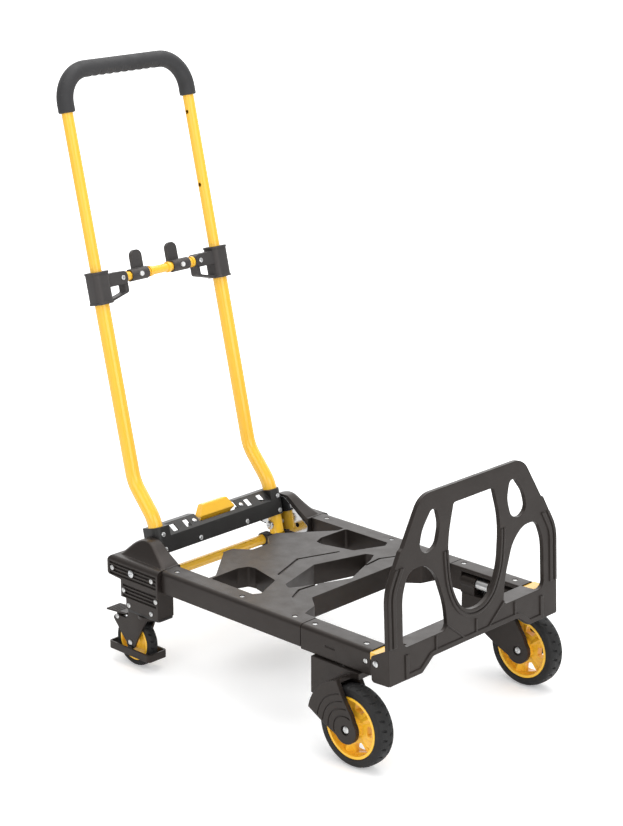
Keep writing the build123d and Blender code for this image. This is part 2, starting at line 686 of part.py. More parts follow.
def front_axle():
    """Axle bolt with a round head in the recess of each arm."""
    half = WHEEL_W / 2 + ARM_GAP + ARM_T
    bolt = rod_y(AXLE_X, AXLE_Z, AXLE_R, WHEEL_Y - half, WHEEL_Y + half)
    for y in (WHEEL_Y - half, WHEEL_Y + half - AXLE_HEAD_H):
        bolt += rod_y(AXLE_X, AXLE_Z, AXLE_HEAD_R, y, y + AXLE_HEAD_H)
    return bolt


def front_hub():
    """Five-spoke hub: boss, dished web with windows near the rim, spoke ribs and rim."""
    bore = AXLE_R + FIT
    half = RIM_W / 2
    boss = WHEEL_W / 2 + ARM_GAP - GAP
    lip = RIM_R - RIM_WALL
    profile = Polygon((bore, boss), (BOSS_R, boss), (BOSS_R + 4, 8), (lip, WEB_T / 2), (lip, half),
                      (RIM_R, half), (RIM_R, -half), (lip, -half), (lip, -WEB_T / 2), (BOSS_R + 4, -8),
                      (BOSS_R, -boss), (bore, -boss))
    hub = revolve(profile, Axis.Y)
    turn = radians(WINDOW_ANGLE / 2)
    c, s = cos(turn), sin(turn)
    window = Polygon((WINDOW_IN * c, -WINDOW_IN * s), (WINDOW_OUT * c, -WINDOW_OUT * s),
                     (WINDOW_OUT * c, WINDOW_OUT * s), (WINDOW_IN * c, WINDOW_IN * s))
    roof = Polygon((-SPOKE_W, 0), (0, SPOKE_CREST), (SPOKE_W, 0), (0, -SPOKE_CREST))
    spoke = prism_x(Rot(0, 0, 90) * roof, BOSS_R - 3, lip + 1)
    for i in range(SPOKES):
        angle = 360 / SPOKES * i
        hub += Rot(0, angle + 180 / SPOKES, 0) * spoke
        hub -= Rot(0, angle, 0) * prism_y(window, -half, half)
    return Pos(AXLE_X, WHEEL_Y, AXLE_Z) * hub


def tyre(rim, radius, width, lugs):
    """Tyre with a crowned tread, about the Y axis, with notches between the lugs of each shoulder."""
    half = width / 2
    shoulder = width / 7
    profile = Polygon((rim, half - 1), (rim + 3, half), (radius - 6, half), (radius - 1.5, half - shoulder),
                      (radius, half - 2 * shoulder), (radius, 2 * shoulder - half),
                      (radius - 1.5, shoulder - half), (radius - 6, -half), (rim + 3, -half), (rim, 1 - half))
    ring = revolve(profile, Axis.Y)
    notch = block(radius - TREAD_DEPTH, radius + 1, half - 2 * shoulder, half + 1,
                  -TREAD_CUT / 2, TREAD_CUT / 2)
    pitch = 360 / lugs
    cuts = [Rot(0, i * pitch, 0) * notch for i in range(lugs)]
    cuts += [Rot(0, (i + 0.5) * pitch, 0) * other_side(notch) for i in range(lugs)]
    return ring - cuts


def front_tyre():
    """Tyre of the left front wheel."""
    return Pos(AXLE_X, WHEEL_Y, AXLE_Z) * tyre(RIM_R, WHEEL_R, WHEEL_W, WHEEL_LUGS)


# Casters

def caster_levels():
    """Heights of the caster plate's underside and of the crown's top and underside."""
    plate_low = DECK_TOP - TIER_3 - CASTER_PLATE_T
    crown_top = plate_low - GAP
    return plate_low, crown_top, crown_top - CROWN_T


def caster_plate():
    """Plate below the left rear bracket with the swivel pin and its washer."""
    plate_low, crown_top, crown_low = caster_levels()
    plate = block(DECK_X0 + TIER_3_REAR, DECK_X0 + DECK_REAR, LEG_BLOCK_INNER, REAR_OUTER,
                  plate_low, plate_low + CASTER_PLATE_T)
    plate = fillet(plate.edges().filter_by(Axis.Z), 6)
    plate += rod_z(SWIVEL_X, SWIVEL_Y, KINGPIN_R, crown_low - GAP, plate_low)
    return plate + rod_z(SWIVEL_X, SWIVEL_Y, KINGPIN_R + 3, crown_low - GAP - 2, crown_low - GAP)


def leg_plan(half, front_half):
    """Plan of the caster's legs, with their front parts leaning inward."""
    side = [(LEG_REAR, half), (LEG_BEND, half), (LEG_FRONT, front_half)]
    return Polygon(*side, *[(x, -y) for x, y in reversed(side)])


def leg_side(top):
    """Side view of a caster leg: a V from the pedal's hinge and the crown down to the axle."""
    arms = rounded([(LEG_REAR, CASTER_Z + 38, 3), (LEG_REAR + 5, CASTER_Z + 45, 3),
                    (CROWN_REAR - 4, CASTER_Z + 47, 6), (CROWN_REAR, top, 0), (LEG_FRONT - 6, top, 0),
                    (LEG_FRONT - 21, CASTER_Z + 34, 20),
                    (-TRAIL + LEG_BOSS, CASTER_Z - 2, 0), (-TRAIL - LEG_BOSS, CASTER_Z - 2, 0)])
    return arms + Pos(-TRAIL, CASTER_Z) * Circle(LEG_BOSS)


def caster_fork():
    """Left swivel fork: round crown on the swivel pin and two legs with bent front parts."""
    plate_low, crown_top, crown_low = caster_levels()
    leg_in = CASTER_W / 2 + LEG_GAP
    leg_out = leg_in + LEG_T
    crown_len = LEG_FRONT - 6 - CROWN_REAR
    plan = Circle(CROWN_R) + (Pos(CROWN_REAR + crown_len / 2, 0) * Rectangle(crown_len, 2 * leg_out)
                              & leg_plan(leg_out, LEG_FRONT_HALF))
    crown = prism_z(plan, crown_low, crown_top) - rod_z(0, 0, KINGPIN_R + FIT, crown_low, crown_top)
    walls = leg_plan(leg_out, LEG_FRONT_HALF) - leg_plan(leg_in, LEG_FRONT_HALF - LEG_T)
    fork = crown + (prism_z(walls, 0, crown_top) & prism_y(leg_side(crown_top), -leg_out, leg_out))
    fork -= rod_y(-TRAIL, CASTER_Z, CASTER_AXLE_R, -leg_out, leg_out)
    px, pz = PEDAL_HINGE
    fork -= rod_y(px, pz, PEDAL_PIN_R + FIT, -leg_out, leg_out)
    return Pos(SWIVEL_X, SWIVEL_Y, 0) * fork


def brake_pedal():
    """Left brake pedal: ribbed tread plate over the legs, with its hinge pin and brake pad between them."""
    px, pz = PEDAL_HINGE
    leg_in = CASTER_W / 2 + LEG_GAP
    width = leg_in - GAP
    rear, rear_top = PEDAL_REAR
    front, front_top = PEDAL_FRONT
    plate = rounded([(rear, rear_top - PEDAL_T, 1), (rear, rear_top, 1), (front, front_top, 1),
                     (front, front_top - PEDAL_T, 1)])
    pedal = prism_y(plate, -PEDAL_HALF, PEDAL_HALF)
    slope = (front_top - rear_top) / (front - rear)
    for i in range(PEDAL_RIBS):
        x = rear + 4 + i * PEDAL_RIB_PITCH
        top = rear_top + slope * (x - rear)
        pedal += block(x, x + 2.5, -PEDAL_HALF + 3, PEDAL_HALF - 3, top - 1, top + 1.2)
    neck = rounded([(px - 7, rear_top, 0), (px + 6, rear_top + 1, 0), (px + 4.5, pz - 1, 2),
                    (px, pz - 4.8, 2), (px - 6, pz - 1, 2)])
    pedal += prism_y(neck, -width, width)
    pad = block(px - 13, px - 5, -8, 8, pz - 20, rear_top - 1)
    pedal += pad - rod_y(-TRAIL, CASTER_Z, CASTER_R + BRAKE_GAP, -8, 8)
    pedal += rod_y(px, pz, PEDAL_PIN_R, -leg_in - LEG_T, leg_in + LEG_T)
    return Pos(SWIVEL_X, SWIVEL_Y, 0) * pedal


def caster_guard():
    """Hoop round the left caster wheel, carried on the legs' lower ends."""
    leg_out = CASTER_W / 2 + LEG_GAP + LEG_T
    inner = rounded([(sx * (CASTER_R + GUARD_REACH), sy * (leg_out + 2), 3)
                     for sx, sy in ((-1, -1), (1, -1), (1, 1), (-1, 1))])
    outer = offset(inner, GUARD_T, kind=Kind.ARC)
    low = CASTER_Z - GUARD_H - 10
    hoop = prism_z(outer - inner, low, low + GUARD_H)
    for side in (1, -1):
        pad = block(-6, 6, leg_out, leg_out + 3, low + 5, CASTER_Z - GUARD_PAD)
        hoop += pad if side > 0 else other_side(pad)
    return Pos(CASTER_X, SWIVEL_Y, 0) * hoop


def caster_axle():
    """Axle bolt of the left caster."""
    half = CASTER_W / 2 + LEG_GAP + LEG_T
    bolt = rod_y(CASTER_X, CASTER_Z, CASTER_AXLE_R, SWIVEL_Y - half, SWIVEL_Y + half)
    for y in (SWIVEL_Y - half - CASTER_HEAD_H, SWIVEL_Y + half):
        bolt += rod_y(CASTER_X, CASTER_Z, CASTER_HEAD_R, y, y + CASTER_HEAD_H)
    return bolt


def caster_hub():
    """Dished hub of the left caster."""
    bore = CASTER_AXLE_R + FIT
    half = CASTER_W / 2 - 1
    boss = CASTER_W / 2 + LEG_GAP - GAP
    lip = CASTER_RIM_R - 4
    profile = Polygon((bore, boss), (CASTER_BOSS, boss), (CASTER_BOSS + 3, 6), (lip, CASTER_WEB / 2),
                      (lip, half), (CASTER_RIM_R, half), (CASTER_RIM_R, -half), (lip, -half),
                      (lip, -CASTER_WEB / 2), (CASTER_BOSS + 3, -6), (CASTER_BOSS, -boss), (bore, -boss))
    return Pos(CASTER_X, SWIVEL_Y, CASTER_Z) * revolve(profile, Axis.Y)


def caster_tyre():
    """Tyre of the left caster."""
    return Pos(CASTER_X, SWIVEL_Y, CASTER_Z) * tyre(CASTER_RIM_R, CASTER_R, CASTER_W, CASTER_LUGS)


# Toe plate

def toe_outline():
    """Front view of the toe plate, heights from the deck's top."""
    edge = [(TOE_HALF, TOE_BOTTOM, 3), (TOE_HALF, TOE_SHOULDER, TOE_SHOULDER_R)]
    half = list(TOE_FOOT) + edge + [(TOE_HALF - inset, z, r) for inset, z, r in TOE_CROWN]
    return rounded(half + [(-y, z, r) for y, z, r in reversed(half)])


def toe_openings():
    """Barrel-shaped middle opening and, on each side, an upper slot and a large lower opening."""
    barrel = rounded(list(TOE_BARREL) + [(-y, z, r) for y, z, r in reversed(TOE_BARREL)])
    slot = rounded(TOE_SLOT)
    large = rounded(TOE_LARGE)
    return [barrel, slot, Rot(0, 180, 0) * slot, large, Rot(0, 180, 0) * large]


def toe_window(half, low, top):
    """Rectangle in the toe plate's front view, the same on both sides."""
    return Pos(0, (low + top) / 2) * Rectangle(2 * half, top - low)


def toe_ribs(outline, holes):
    """Front view of the raised lines: rims beside the edges and the barrel, lip and ribs of the foot."""
    sides = toe_window(2 * TOE_HALF, TOE_RIM_LOW, TOE_RIM_TOP)
    ribs = Sketch()
    for inset, width in TOE_SIDE_RIMS:
        ribs += (offset(outline, -inset) - offset(outline, -inset - width)) & sides
    for inset, width in TOE_BARREL_RIMS:
        rim = offset(holes[0], inset + width) - offset(holes[0], inset)
        ribs += rim & toe_window(TOE_HALF, TOE_BOTTOM, TOE_RIM_TOP)
    panel_low = TOE_MID_BOTTOM + TOE_LIP
    ribs += (offset(outline, -1) - offset(outline, -TOE_LIP)) & toe_window(TOE_PANEL, TOE_BOTTOM, panel_low)
    for y in TOE_FOOT_RIBS:
        ribs += Pos(y, 0) * toe_window(TOE_RIB_W / 2, panel_low - 1, TOE_PANEL_TOP)
    end = Pos(TOE_PANEL - TOE_RIB_W, 0) * toe_window(TOE_RIB_W, TOE_BOTTOM + TOE_LIP - 1, -TOE_PANEL_TOP)
    brace = stripe(TOE_BRACE, TOE_RIB_W)
    for rib in (end, brace):
        ribs += [rib, mirror(rib, about=Plane.YZ)]
    return ribs


def toe_plate():
    """Toe plate: thin skin with walls, raised ribs on its face, ribbed band behind it and side ears."""
    outline = toe_outline()
    holes = toe_openings()
    cut = Sketch() + holes
    grown = Sketch() + [offset(h, DECK_WALL) for h in holes]
    lean = Pos(TOE_FACE, 0, DECK_TOP + TOE_BOTTOM) * Rot(0, -TOE_LEAN, 0) * Pos(0, 0, -TOE_BOTTOM)
    plate = prism_x(outline - cut, -TOE_T, 0)
    plate -= prism_x(offset(outline, -DECK_WALL, kind=Kind.INTERSECTION) - grown, -TOE_T, -DECK_SKIN)
    plate += prism_x(toe_ribs(outline, holes) - cut, -1, TOE_RIB)
    back = -TOE_T - TOE_BAND_DEPTH
    for z0, z1 in ((TOE_MID_BOTTOM, TOE_MID_BOTTOM + DECK_WALL), (TOE_BAND_TOP, TOE_BAND_TOP + DECK_WALL)):
        plate += block(back, -DECK_SKIN, -TOE_BAND_HALF, TOE_BAND_HALF, z0, z1)
    pitch = (2 * TOE_BAND_HALF - DECK_WALL) / TOE_BAND_BAYS
    for i in range(TOE_BAND_BAYS + 1):
        y = -TOE_BAND_HALF + i * pitch
        plate += block(back, -DECK_SKIN, y, y + DECK_WALL, TOE_MID_BOTTOM, TOE_BAND_TOP)
    ear = prism_y(rounded([(-2, TOE_BOTTOM, 0), (-2, TOE_BAND_TOP + 9, 0), (-TOE_T - 4, TOE_BAND_TOP + 5, 4),
                           (-EAR_DEPTH, TOE_BAND_TOP - 9, 6), (-EAR_DEPTH, TOE_BOTTOM, 6)]), EAR_IN, TOE_HALF)
    plate += ear + other_side(ear)
    plate = lean * plate
    bore = rod_y(TOE_HINGE, HINGE_Z, HINGE_BOLT_R, EAR_IN, TOE_HALF)
    plate -= bore + other_side(bore)
    return Pos(DECK_X0, 0, 0) * plate


def toe_hinge_bolts():
    """Hinge bolts of the toe plate, fixed in its ears."""
    bolt = rod_y(HINGE_X, HINGE_Z, HINGE_BOLT_R, EAR_IN - GAP - HINGE_BLOCK_W, TOE_HALF)
    bolt += rod_y(HINGE_X, HINGE_Z, HINGE_HEAD_R, TOE_HALF, TOE_HALF + HINGE_HEAD_H)
    return Compound(children=[bolt, other_side(bolt)])


# Handle, in its own upright frame: x forward from the legs, z up from the pivot

def lower_path():
    """Middle line of the left lower tube, bent back above the beam."""
    line = FilletPolyline((0, -LEG_END), (0, BEND_START), (-BEND_OFFSET, BEND_START + BEND_RISE),
                          (-BEND_OFFSET, COLLAR_TOP - COLLAR_CAP), radius=BEND_R)
    return Pos(0, TUBE_Y, 0) * (Plane.XZ * line)


def lower_tube():
    """Left lower tube with its pivot, lock, rivet and pin holes."""
    path = lower_path()
    start = Plane((0, TUBE_Y, -LEG_END), x_dir=(1, 0, 0), z_dir=(0, 0, 1))
    tube = sweep(start * Circle(LOWER_R), path) - sweep(start * Circle(LOWER_R - LOWER_WALL), path)
    y0, y1 = TUBE_Y - LOWER_R, TUBE_Y + LOWER_R
    tube -= rod_y(0, 0, PIVOT_R + FIT, y0, y1)
    tube -= rod_y(0, LOCK_U, LOCK_R + FIT, y0, y1)
    tube -= rod_y(-BEND_OFFSET, BAR_U, PIN_R + FIT, y0, TUBE_Y)
    for u in RIVET_U:
        tube -= rod_x(TUBE_Y, u, SCREW_SHANK, 0, LOWER_R)
    return tube


def beam_plan(inset):
    """Plan of the beam, its front corners rounded about the legs, drawn in by a wall."""
    half = BEAM_HALF - inset
    front = BEAM_FRONT - inset
    r = BEAM_ROUND - inset
    return rounded([(BEAM_BACK, -half, 0), (front, -half, r), (front, half, r), (BEAM_BACK, half, 0)])


def lock_beam():
    """Black channel round the legs, open to the back, with lugs for the lever and guides for the bolts."""
    t = BEAM_T
    slope = Polygon((BEAM_FRONT, SLOPE_LOW), (BEAM_FRONT, BEAM_TOP), (SLOPE_BACK, BEAM_TOP))
    inside = prism_z(beam_plan(t), BEAM_LOW + t, BEAM_TOP - t)
    inside -= prism_y(offset(slope, t, kind=Kind.INTERSECTION), -SLOPE_HALF - t, SLOPE_HALF + t)
    beam = prism_z(beam_plan(0), BEAM_LOW, BEAM_TOP) - inside
    lug_in = LEVER_HALF + LUG_GAP
    pieces = block(LEVER_X - LUG_BACK, BEAM_FRONT - t, lug_in, lug_in + LUG_T, LEVER_U - LUG_BACK,
                   LEVER_U + LUG_BACK)
    pieces -= rod_y(LEVER_X, LEVER_U, LEVER_STUB + FIT, lug_in, lug_in + LUG_T)
    for y in GUIDE_AT:
        guide = block(-GUIDE_HALF, BEAM_FRONT - t, y, y + GUIDE_T, LOCK_U - GUIDE_HALF, LOCK_U + GUIDE_HALF)
        pieces += guide - rod_y(0, LOCK_U, LOCK_R + FIT, y, y + GUIDE_T)
    beam += pieces + other_side(pieces)
    for y in (TUBE_Y, -TUBE_Y):
        beam -= rod_z(0, y, LOWER_R + SLACK, BEAM_LOW, BEAM_TOP)
    bore = rod_y(0, LOCK_U, LOCK_R + FIT, TUBE_Y, BEAM_HALF)
    beam -= bore + other_side(bore)
    beam -= prism_y(slope, -SLOPE_HALF, SLOPE_HALF)
    room = LEVER_WIDE + LEVER_ROOM
    beam -= block(BEAM_BACK, BEAM_FRONT, -room, room, LEVER_CUT, BEAM_TOP)
    for y in SLOT_AT:
        slot = block(SLOPE_BACK, BEAM_FRONT, y - SLOT_HALF, y + SLOT_HALF, SLOT_LOW, SLOT_TOP)
        beam -= slot + other_side(slot)
    return beam - rivet_list()


def front_rivet(y, u, inner):
    """Rivet through the beam's front wall, from a depth inside it."""
    head = rod_x(y, u, SCREW_HEAD, BEAM_FRONT, BEAM_FRONT + SCREW_RISE)
    return head + rod_x(y, u, SCREW_SHANK, inner, BEAM_FRONT)


def slope_rivet(y):
    """Rivet through the middle of the beam's slope."""
    turn = degrees(atan2(BEAM_TOP - SLOPE_LOW, BEAM_FRONT - SLOPE_BACK))
    rivet = rod_z(0, 0, SCREW_SHANK, -BEAM_T, 0) + rod_z(0, 0, SCREW_HEAD, 0, SCREW_RISE)
    return Pos((BEAM_FRONT + SLOPE_BACK) / 2, y, (SLOPE_LOW + BEAM_TOP) / 2) * Rot(0, turn, 0) * rivet


def rivet_list():
    """Rivets of the beam: two on each leg, and one on the slope above one on each inner guide."""
    rivets = []
    for side in (1, -1):
        rivets += [front_rivet(side * TUBE_Y, u, LOWER_R - LOWER_WALL) for u in RIVET_U]
        rivets += [front_rivet(side * GUIDE_RIVET, RIVET_U[0], LOWER_R), slope_rivet(side * GUIDE_RIVET)]
    return rivets


def beam_rivets():
    """Rivets that hold the beam to the legs and to its inner guides."""
    return Compound(children=rivet_list())


def fold_lever():
    """Yellow lever in the beam: hub with two stubs and a paddle that leans out of the beam's slope."""
    lip = LEVER_X + LEVER_LIP
    face = rounded([(LEVER_X - 4, LEVER_U, 0), (LEVER_X + 4, LEVER_U, 0), (LEVER_X + 4, LEVER_FOOT - 6, 3),
                    (lip, LEVER_FOOT + 3, 3), (lip - 4, LEVER_TOP, 4), (LEVER_X - 4, LEVER_TOP, 3)])
    plate = prism_y(face, -LEVER_WIDE, LEVER_WIDE)
    half = [(LEVER_HALF, LEVER_U - 8, 0), (LEVER_HALF, LEVER_FOOT - 4, 0), (LEVER_WIDE, LEVER_FOOT + 2, 4),
            (LEVER_NARROW, LEVER_TOP, 6)]
    ends = rounded(half + [(-y, u, r) for y, u, r in reversed(half)])
    plate &= prism_x(ends, LEVER_X - 20, LEVER_X + 20)
    plate += rod_y(LEVER_X, LEVER_U, LEVER_HUB, -LEVER_HALF, LEVER_HALF)
    return plate + rod_y(LEVER_X, LEVER_U, LEVER_STUB, -LEVER_HALF - 4.5, LEVER_HALF + 4.5)


def lock_bolt():
    """Left lock bolt, drawn free of the lock plate, with a rounded tip."""
    bolt = rod_y(0, LOCK_U, LOCK_R, LOCK_IN, LOCK_TIP)
    return chamfer(bolt.edges().group_by(Axis.Y)[-1], 1)


def collar():
    """Left collar: sleeve on the lower tube, arm for the cross bar and finger loop below it."""
    cx = -BEND_OFFSET
    half = COLLAR_W / 2
    plan = rounded([(cx - half, TUBE_Y - half, 12), (cx + half, TUBE_Y - half, 12),
                    (cx + half, TUBE_Y + half, 12), (cx - half, TUBE_Y + half, 12)])
    body = prism_z(plan, COLLAR_LOW, COLLAR_TOP)
    body += prism_z(offset(plan, 1.2), COLLAR_TOP - 4, COLLAR_TOP)
    body += prism_z(offset(plan, 1.2), COLLAR_LOW, COLLAR_LOW + 4)
    near = TUBE_Y - half + 3
    low = BAR_U - ARM_W / 2
    arm = rounded([(ARM_END, low, 10), (near, low, 0), (near, low + ARM_W, 0), (ARM_END, low + ARM_W, 10)])
    body += prism_x(arm, cx - ARM_W / 2, cx + ARM_W / 2)
    loop = rounded([(ARM_END, low + 6, 0), (ARM_END, COLLAR_LOW + 12, 6), (near, COLLAR_LOW, 0),
                    (near, low + 6, 0)])
    window = rounded([(ARM_END + 9, low, 0), (ARM_END + 9, COLLAR_LOW + 14, 4), (near - 3, COLLAR_LOW + 5, 2),
                      (near - 3, low, 0)])
    body += prism_x(loop - window, cx - ARM_W / 2 + 3, cx + ARM_W / 2 - 3)
    body -= rod_z(cx, TUBE_Y, LOWER_R, COLLAR_LOW, COLLAR_TOP - COLLAR_CAP)
    body -= rod_z(cx, TUBE_Y, UPPER_R + GAP, COLLAR_TOP - COLLAR_CAP, COLLAR_TOP)
    body -= rod_y(cx, BAR_U, BAR_R, ARM_END, ARM_END + BAR_SEAT)
    body -= rod_y(cx, BAR_U, PIN_R + FIT, ARM_END, TUBE_Y)
    body -= rod_x(ARM_END + 12, BAR_U, SCREW_SHANK, cx + BAR_R - 1, cx + ARM_W / 2)
    return body


def collar_screws():
    """Screws that hold the cross bar in the collars' arms."""
    cx = -BEND_OFFSET
    y = ARM_END + 12
    screw = rod_x(y, BAR_U, SCREW_SHANK, cx + BAR_R, cx + ARM_W / 2)
    screw += rod_x(y, BAR_U, SCREW_HEAD, cx + ARM_W / 2, cx + ARM_W / 2 + SCREW_RISE)
    return Compound(children=[screw, other_side(screw)])


def cross_bar():
    """Yellow tube between the collars with stop rings and slots for the tabs' studs."""
    cx = -BEND_OFFSET
    end = ARM_END + BAR_SEAT
    bar = rod_y(cx, BAR_U, BAR_R, -end, end)
    ring_in = TAB_IN - TAB_PULL - 1
    rings = rod_y(cx, BAR_U, RING_R, ring_in - 6, ring_in)
    rings += rod_y(cx, BAR_U, RING_R, TAB_OUT + TAB_LOCK + 1, ARM_END)
    bar += rings + other_side(rings)
    bar -= rod_y(cx, BAR_U, BAR_R - BAR_WALL, -end, end)
    y = stud_y()
    slot = block(cx, cx + BAR_R + 1, y - TAB_PULL - 4, y + TAB_LOCK + 4, BAR_U - SCREW_SHANK - GAP,
                 BAR_U + SCREW_SHANK + GAP)
    return bar - slot - other_side(slot)


def stud_y():
    """Place along the bar of the stud that joins tab and pin."""
    return (TAB_IN + TAB_OUT) / 2


def tab_radius():
    """Outer radius of a tab's sleeve."""
    return BAR_R + GAP + TAB_WALL


def release_tab():
    """Left finger tab: sleeve on the bar and upright paddle behind it."""
    cx = -BEND_OFFSET
    sleeve = rod_y(cx, BAR_U, tab_radius(), TAB_IN, TAB_OUT)
    top = BAR_U + tab_radius() + PADDLE_H
    paddle = rounded([(TAB_IN, BAR_U, 0), (TAB_IN + PADDLE_W, BAR_U, 0), (TAB_IN + PADDLE_W, top, 12.5),
                      (TAB_IN, top, 12.5)])
    tab = sleeve + prism_x(paddle, cx - tab_radius(), cx - tab_radius() + PADDLE_T)
    tab -= rod_y(cx, BAR_U, BAR_R + GAP, TAB_IN, TAB_OUT)
    return tab - rod_x(stud_y(), BAR_U, SCREW_SHANK, cx, cx + tab_radius())


def telescope_pin():
    """Left telescope pin inside the bar, with the stud that the tab moves it by."""
    cx = -BEND_OFFSET
    y = stud_y()
    pin = rod_y(cx, BAR_U, BAR_R - BAR_WALL - GAP, y - 14, ARM_END - TAB_LOCK)
    pin += rod_y(cx, BAR_U, PIN_R, ARM_END - TAB_LOCK, PIN_TIP)
    pin += rod_x(y, BAR_U, SCREW_SHANK, cx, cx + tab_radius())
    return pin + rod_x(y, BAR_U, SCREW_HEAD, cx + tab_radius(), cx + tab_radius() + SCREW_RISE)


def bow_path(low):
    """Middle line of the bow from a height on both sides."""
    line = FilletPolyline((TUBE_Y, low), (TUBE_Y, BOW_TOP), (-TUBE_Y, BOW_TOP), (-TUBE_Y, low), radius=BOW_R)
    return Pos(-BEND_OFFSET, 0, 0) * (Plane.YZ * line)


def bow_sweep(radius, low):
    """Round bar along the bow."""
    start = Plane((-BEND_OFFSET, TUBE_Y, low), x_dir=(1, 0, 0), z_dir=(0, 0, 1))
    return sweep(start * Circle(radius), bow_path(low))


def upper_tube():
    """Telescoping bow with its lock holes."""
    tube = bow_sweep(UPPER_R, UPPER_END) - bow_sweep(UPPER_R - UPPER_WALL, UPPER_END)
    for step in range(LOCK_STEPS + 1):
        hole = rod_y(-BEND_OFFSET, BAR_U + step * LOCK_STEP, PIN_R + SLACK, TUBE_Y - UPPER_R, TUBE_Y)
        tube -= hole + other_side(hole)
    return tube


def handle_grip():
    """Rubber grip on the bow."""
    return bow_sweep(GRIP_R, GRIP_LOW) - bow_sweep(UPPER_R, GRIP_LOW)


def guide_bushes():
    """Plastic bushes on the bow's lower ends inside the lower tubes."""
    r = LOWER_R - LOWER_WALL - SLACK
    bush = rod_z(-BEND_OFFSET, TUBE_Y, r, UPPER_END, UPPER_END + BUSH_LEN)
    bush -= rod_z(-BEND_OFFSET, TUBE_Y, UPPER_R, UPPER_END, UPPER_END + BUSH_LEN)
    return Compound(children=[bush, other_side(bush)])


def handle_pivot_bolts():
    """Bolts on which the handle turns, through leg, lock plate and bracket."""
    y0 = TUBE_Y - LOWER_R - GAP
    bolt = rod_y(PIVOT_X, PIVOT_Z, PIVOT_R, y0, REAR_OUTER + GAP)
    bolt += rod_y(PIVOT_X, PIVOT_Z, PIVOT_HEAD_R, y0 - PIVOT_HEAD_H, y0)
    bolt += rod_y(PIVOT_X, PIVOT_Z, PIVOT_NUT_R, REAR_OUTER + GAP, REAR_OUTER + GAP + PIVOT_HEAD_H / 2)
    return Compound(children=[bolt, other_side(bolt)])


PAIRS = {
    "side_rail": side_rail, "front_bracket": front_bracket, "rear_bracket": rear_bracket,
    "lock_quadrant": lock_quadrant, "fork_pivot_pin": fork_pivot_pin, "toe_hinge_block": toe_hinge_block,
    "caster_plate": caster_plate, "wheel_fork": wheel_fork, "front_axle": front_axle, "front_hub": front_hub,
    "front_tyre": front_tyre, "caster_fork": caster_fork, "caster_axle": caster_axle,
    "caster_guard": caster_guard, "caster_hub": caster_hub, "caster_tyre": caster_tyre,
    "brake_pedal": brake_pedal,
}
SINGLES = {
    "deck_panel": deck_panel, "rear_cross_tube": rear_cross_tube, "stop_bumpers": stop_bumpers,
    "deck_screws": deck_screws, "bracket_screws": bracket_screws, "toe_plate": toe_plate,
    "toe_hinge_bolts": toe_hinge_bolts, "handle_pivot_bolts": handle_pivot_bolts,
}
HANDLE_PAIRS = {
    "lower_tube": lower_tube, "collar": collar, "release_tab": release_tab,
    "telescope_pin": telescope_pin, "lock_bolt": lock_bolt,
}
HANDLE_SINGLES = {
    "lock_beam": lock_beam, "beam_rivets": beam_rivets, "fold_lever": fold_lever,
    "collar_screws": collar_screws, "cross_bar": cross_bar, "upper_tube": upper_tube,
    "handle_grip": handle_grip, "guide_bushes": guide_bushes,
}


def main():
    """Write one file for each piece."""
    os.makedirs("parts", exist_ok=True)
    for place, pairs, singles in ((Pos(0, 0, 0), PAIRS, SINGLES), (HANDLE, HANDLE_PAIRS, HANDLE_SINGLES)):
        for name, make in singles.items():
            export_step(place * make(), f"parts/{name}.step")
        for name, make in pairs.items():
            left = place * make()
            export_step(left, f"parts/{name}_left.step")
            export_step(other_side(left), f"parts/{name}_right.step")


main()
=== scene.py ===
"""Looks of a folding hand truck: finishes, dressed solids, tyres, grip, screw heads, studio and camera.

All sizes are metres in the frame of the solids: x forward, y left, z up, floor at z = 0.
"""

from __future__ import annotations

import json
import logging
import math
from dataclasses import dataclass, field
from enum import Enum

import bmesh
import bpy
import numpy as np
from mathutils import Euler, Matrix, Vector

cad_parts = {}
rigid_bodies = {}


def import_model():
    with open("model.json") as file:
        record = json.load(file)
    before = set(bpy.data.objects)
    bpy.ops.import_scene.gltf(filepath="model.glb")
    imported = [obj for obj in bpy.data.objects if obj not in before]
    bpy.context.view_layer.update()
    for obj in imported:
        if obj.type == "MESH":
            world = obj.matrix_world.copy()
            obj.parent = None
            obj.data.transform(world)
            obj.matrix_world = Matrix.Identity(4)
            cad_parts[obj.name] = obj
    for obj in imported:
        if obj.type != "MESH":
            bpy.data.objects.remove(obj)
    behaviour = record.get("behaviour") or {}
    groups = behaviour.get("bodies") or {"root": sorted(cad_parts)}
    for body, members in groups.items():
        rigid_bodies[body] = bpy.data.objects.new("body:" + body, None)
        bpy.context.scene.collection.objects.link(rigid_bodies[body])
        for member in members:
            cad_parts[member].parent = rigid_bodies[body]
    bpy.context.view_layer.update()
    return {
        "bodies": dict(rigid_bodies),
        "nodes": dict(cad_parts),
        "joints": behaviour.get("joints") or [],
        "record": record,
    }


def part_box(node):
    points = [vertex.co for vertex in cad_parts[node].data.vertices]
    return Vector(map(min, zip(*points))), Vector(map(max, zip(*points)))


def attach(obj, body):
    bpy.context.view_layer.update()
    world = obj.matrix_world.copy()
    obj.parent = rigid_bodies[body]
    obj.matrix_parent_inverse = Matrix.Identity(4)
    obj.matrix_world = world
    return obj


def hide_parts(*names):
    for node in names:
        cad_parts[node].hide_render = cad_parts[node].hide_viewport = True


LOG = logging.getLogger("hand_truck")
Array = np.ndarray
Pair = tuple[float, float]
Range = tuple[float, float]
Triple = tuple[float, float, float]
Colour = tuple[float, float, float]
SIDES = {"left": 1.0, "right": -1.0}
GRID_MERGE = 1e-7                  # points of a grid nearer than this are one
SHARP_TURN = math.radians(34.0)    # an edge whose faces turn by more stays sharp
TYRES = {"front_tyre": (26, 0.0560), "caster_tyre": (22, 0.0370)}    # lugs on each shoulder, and radius of the bore


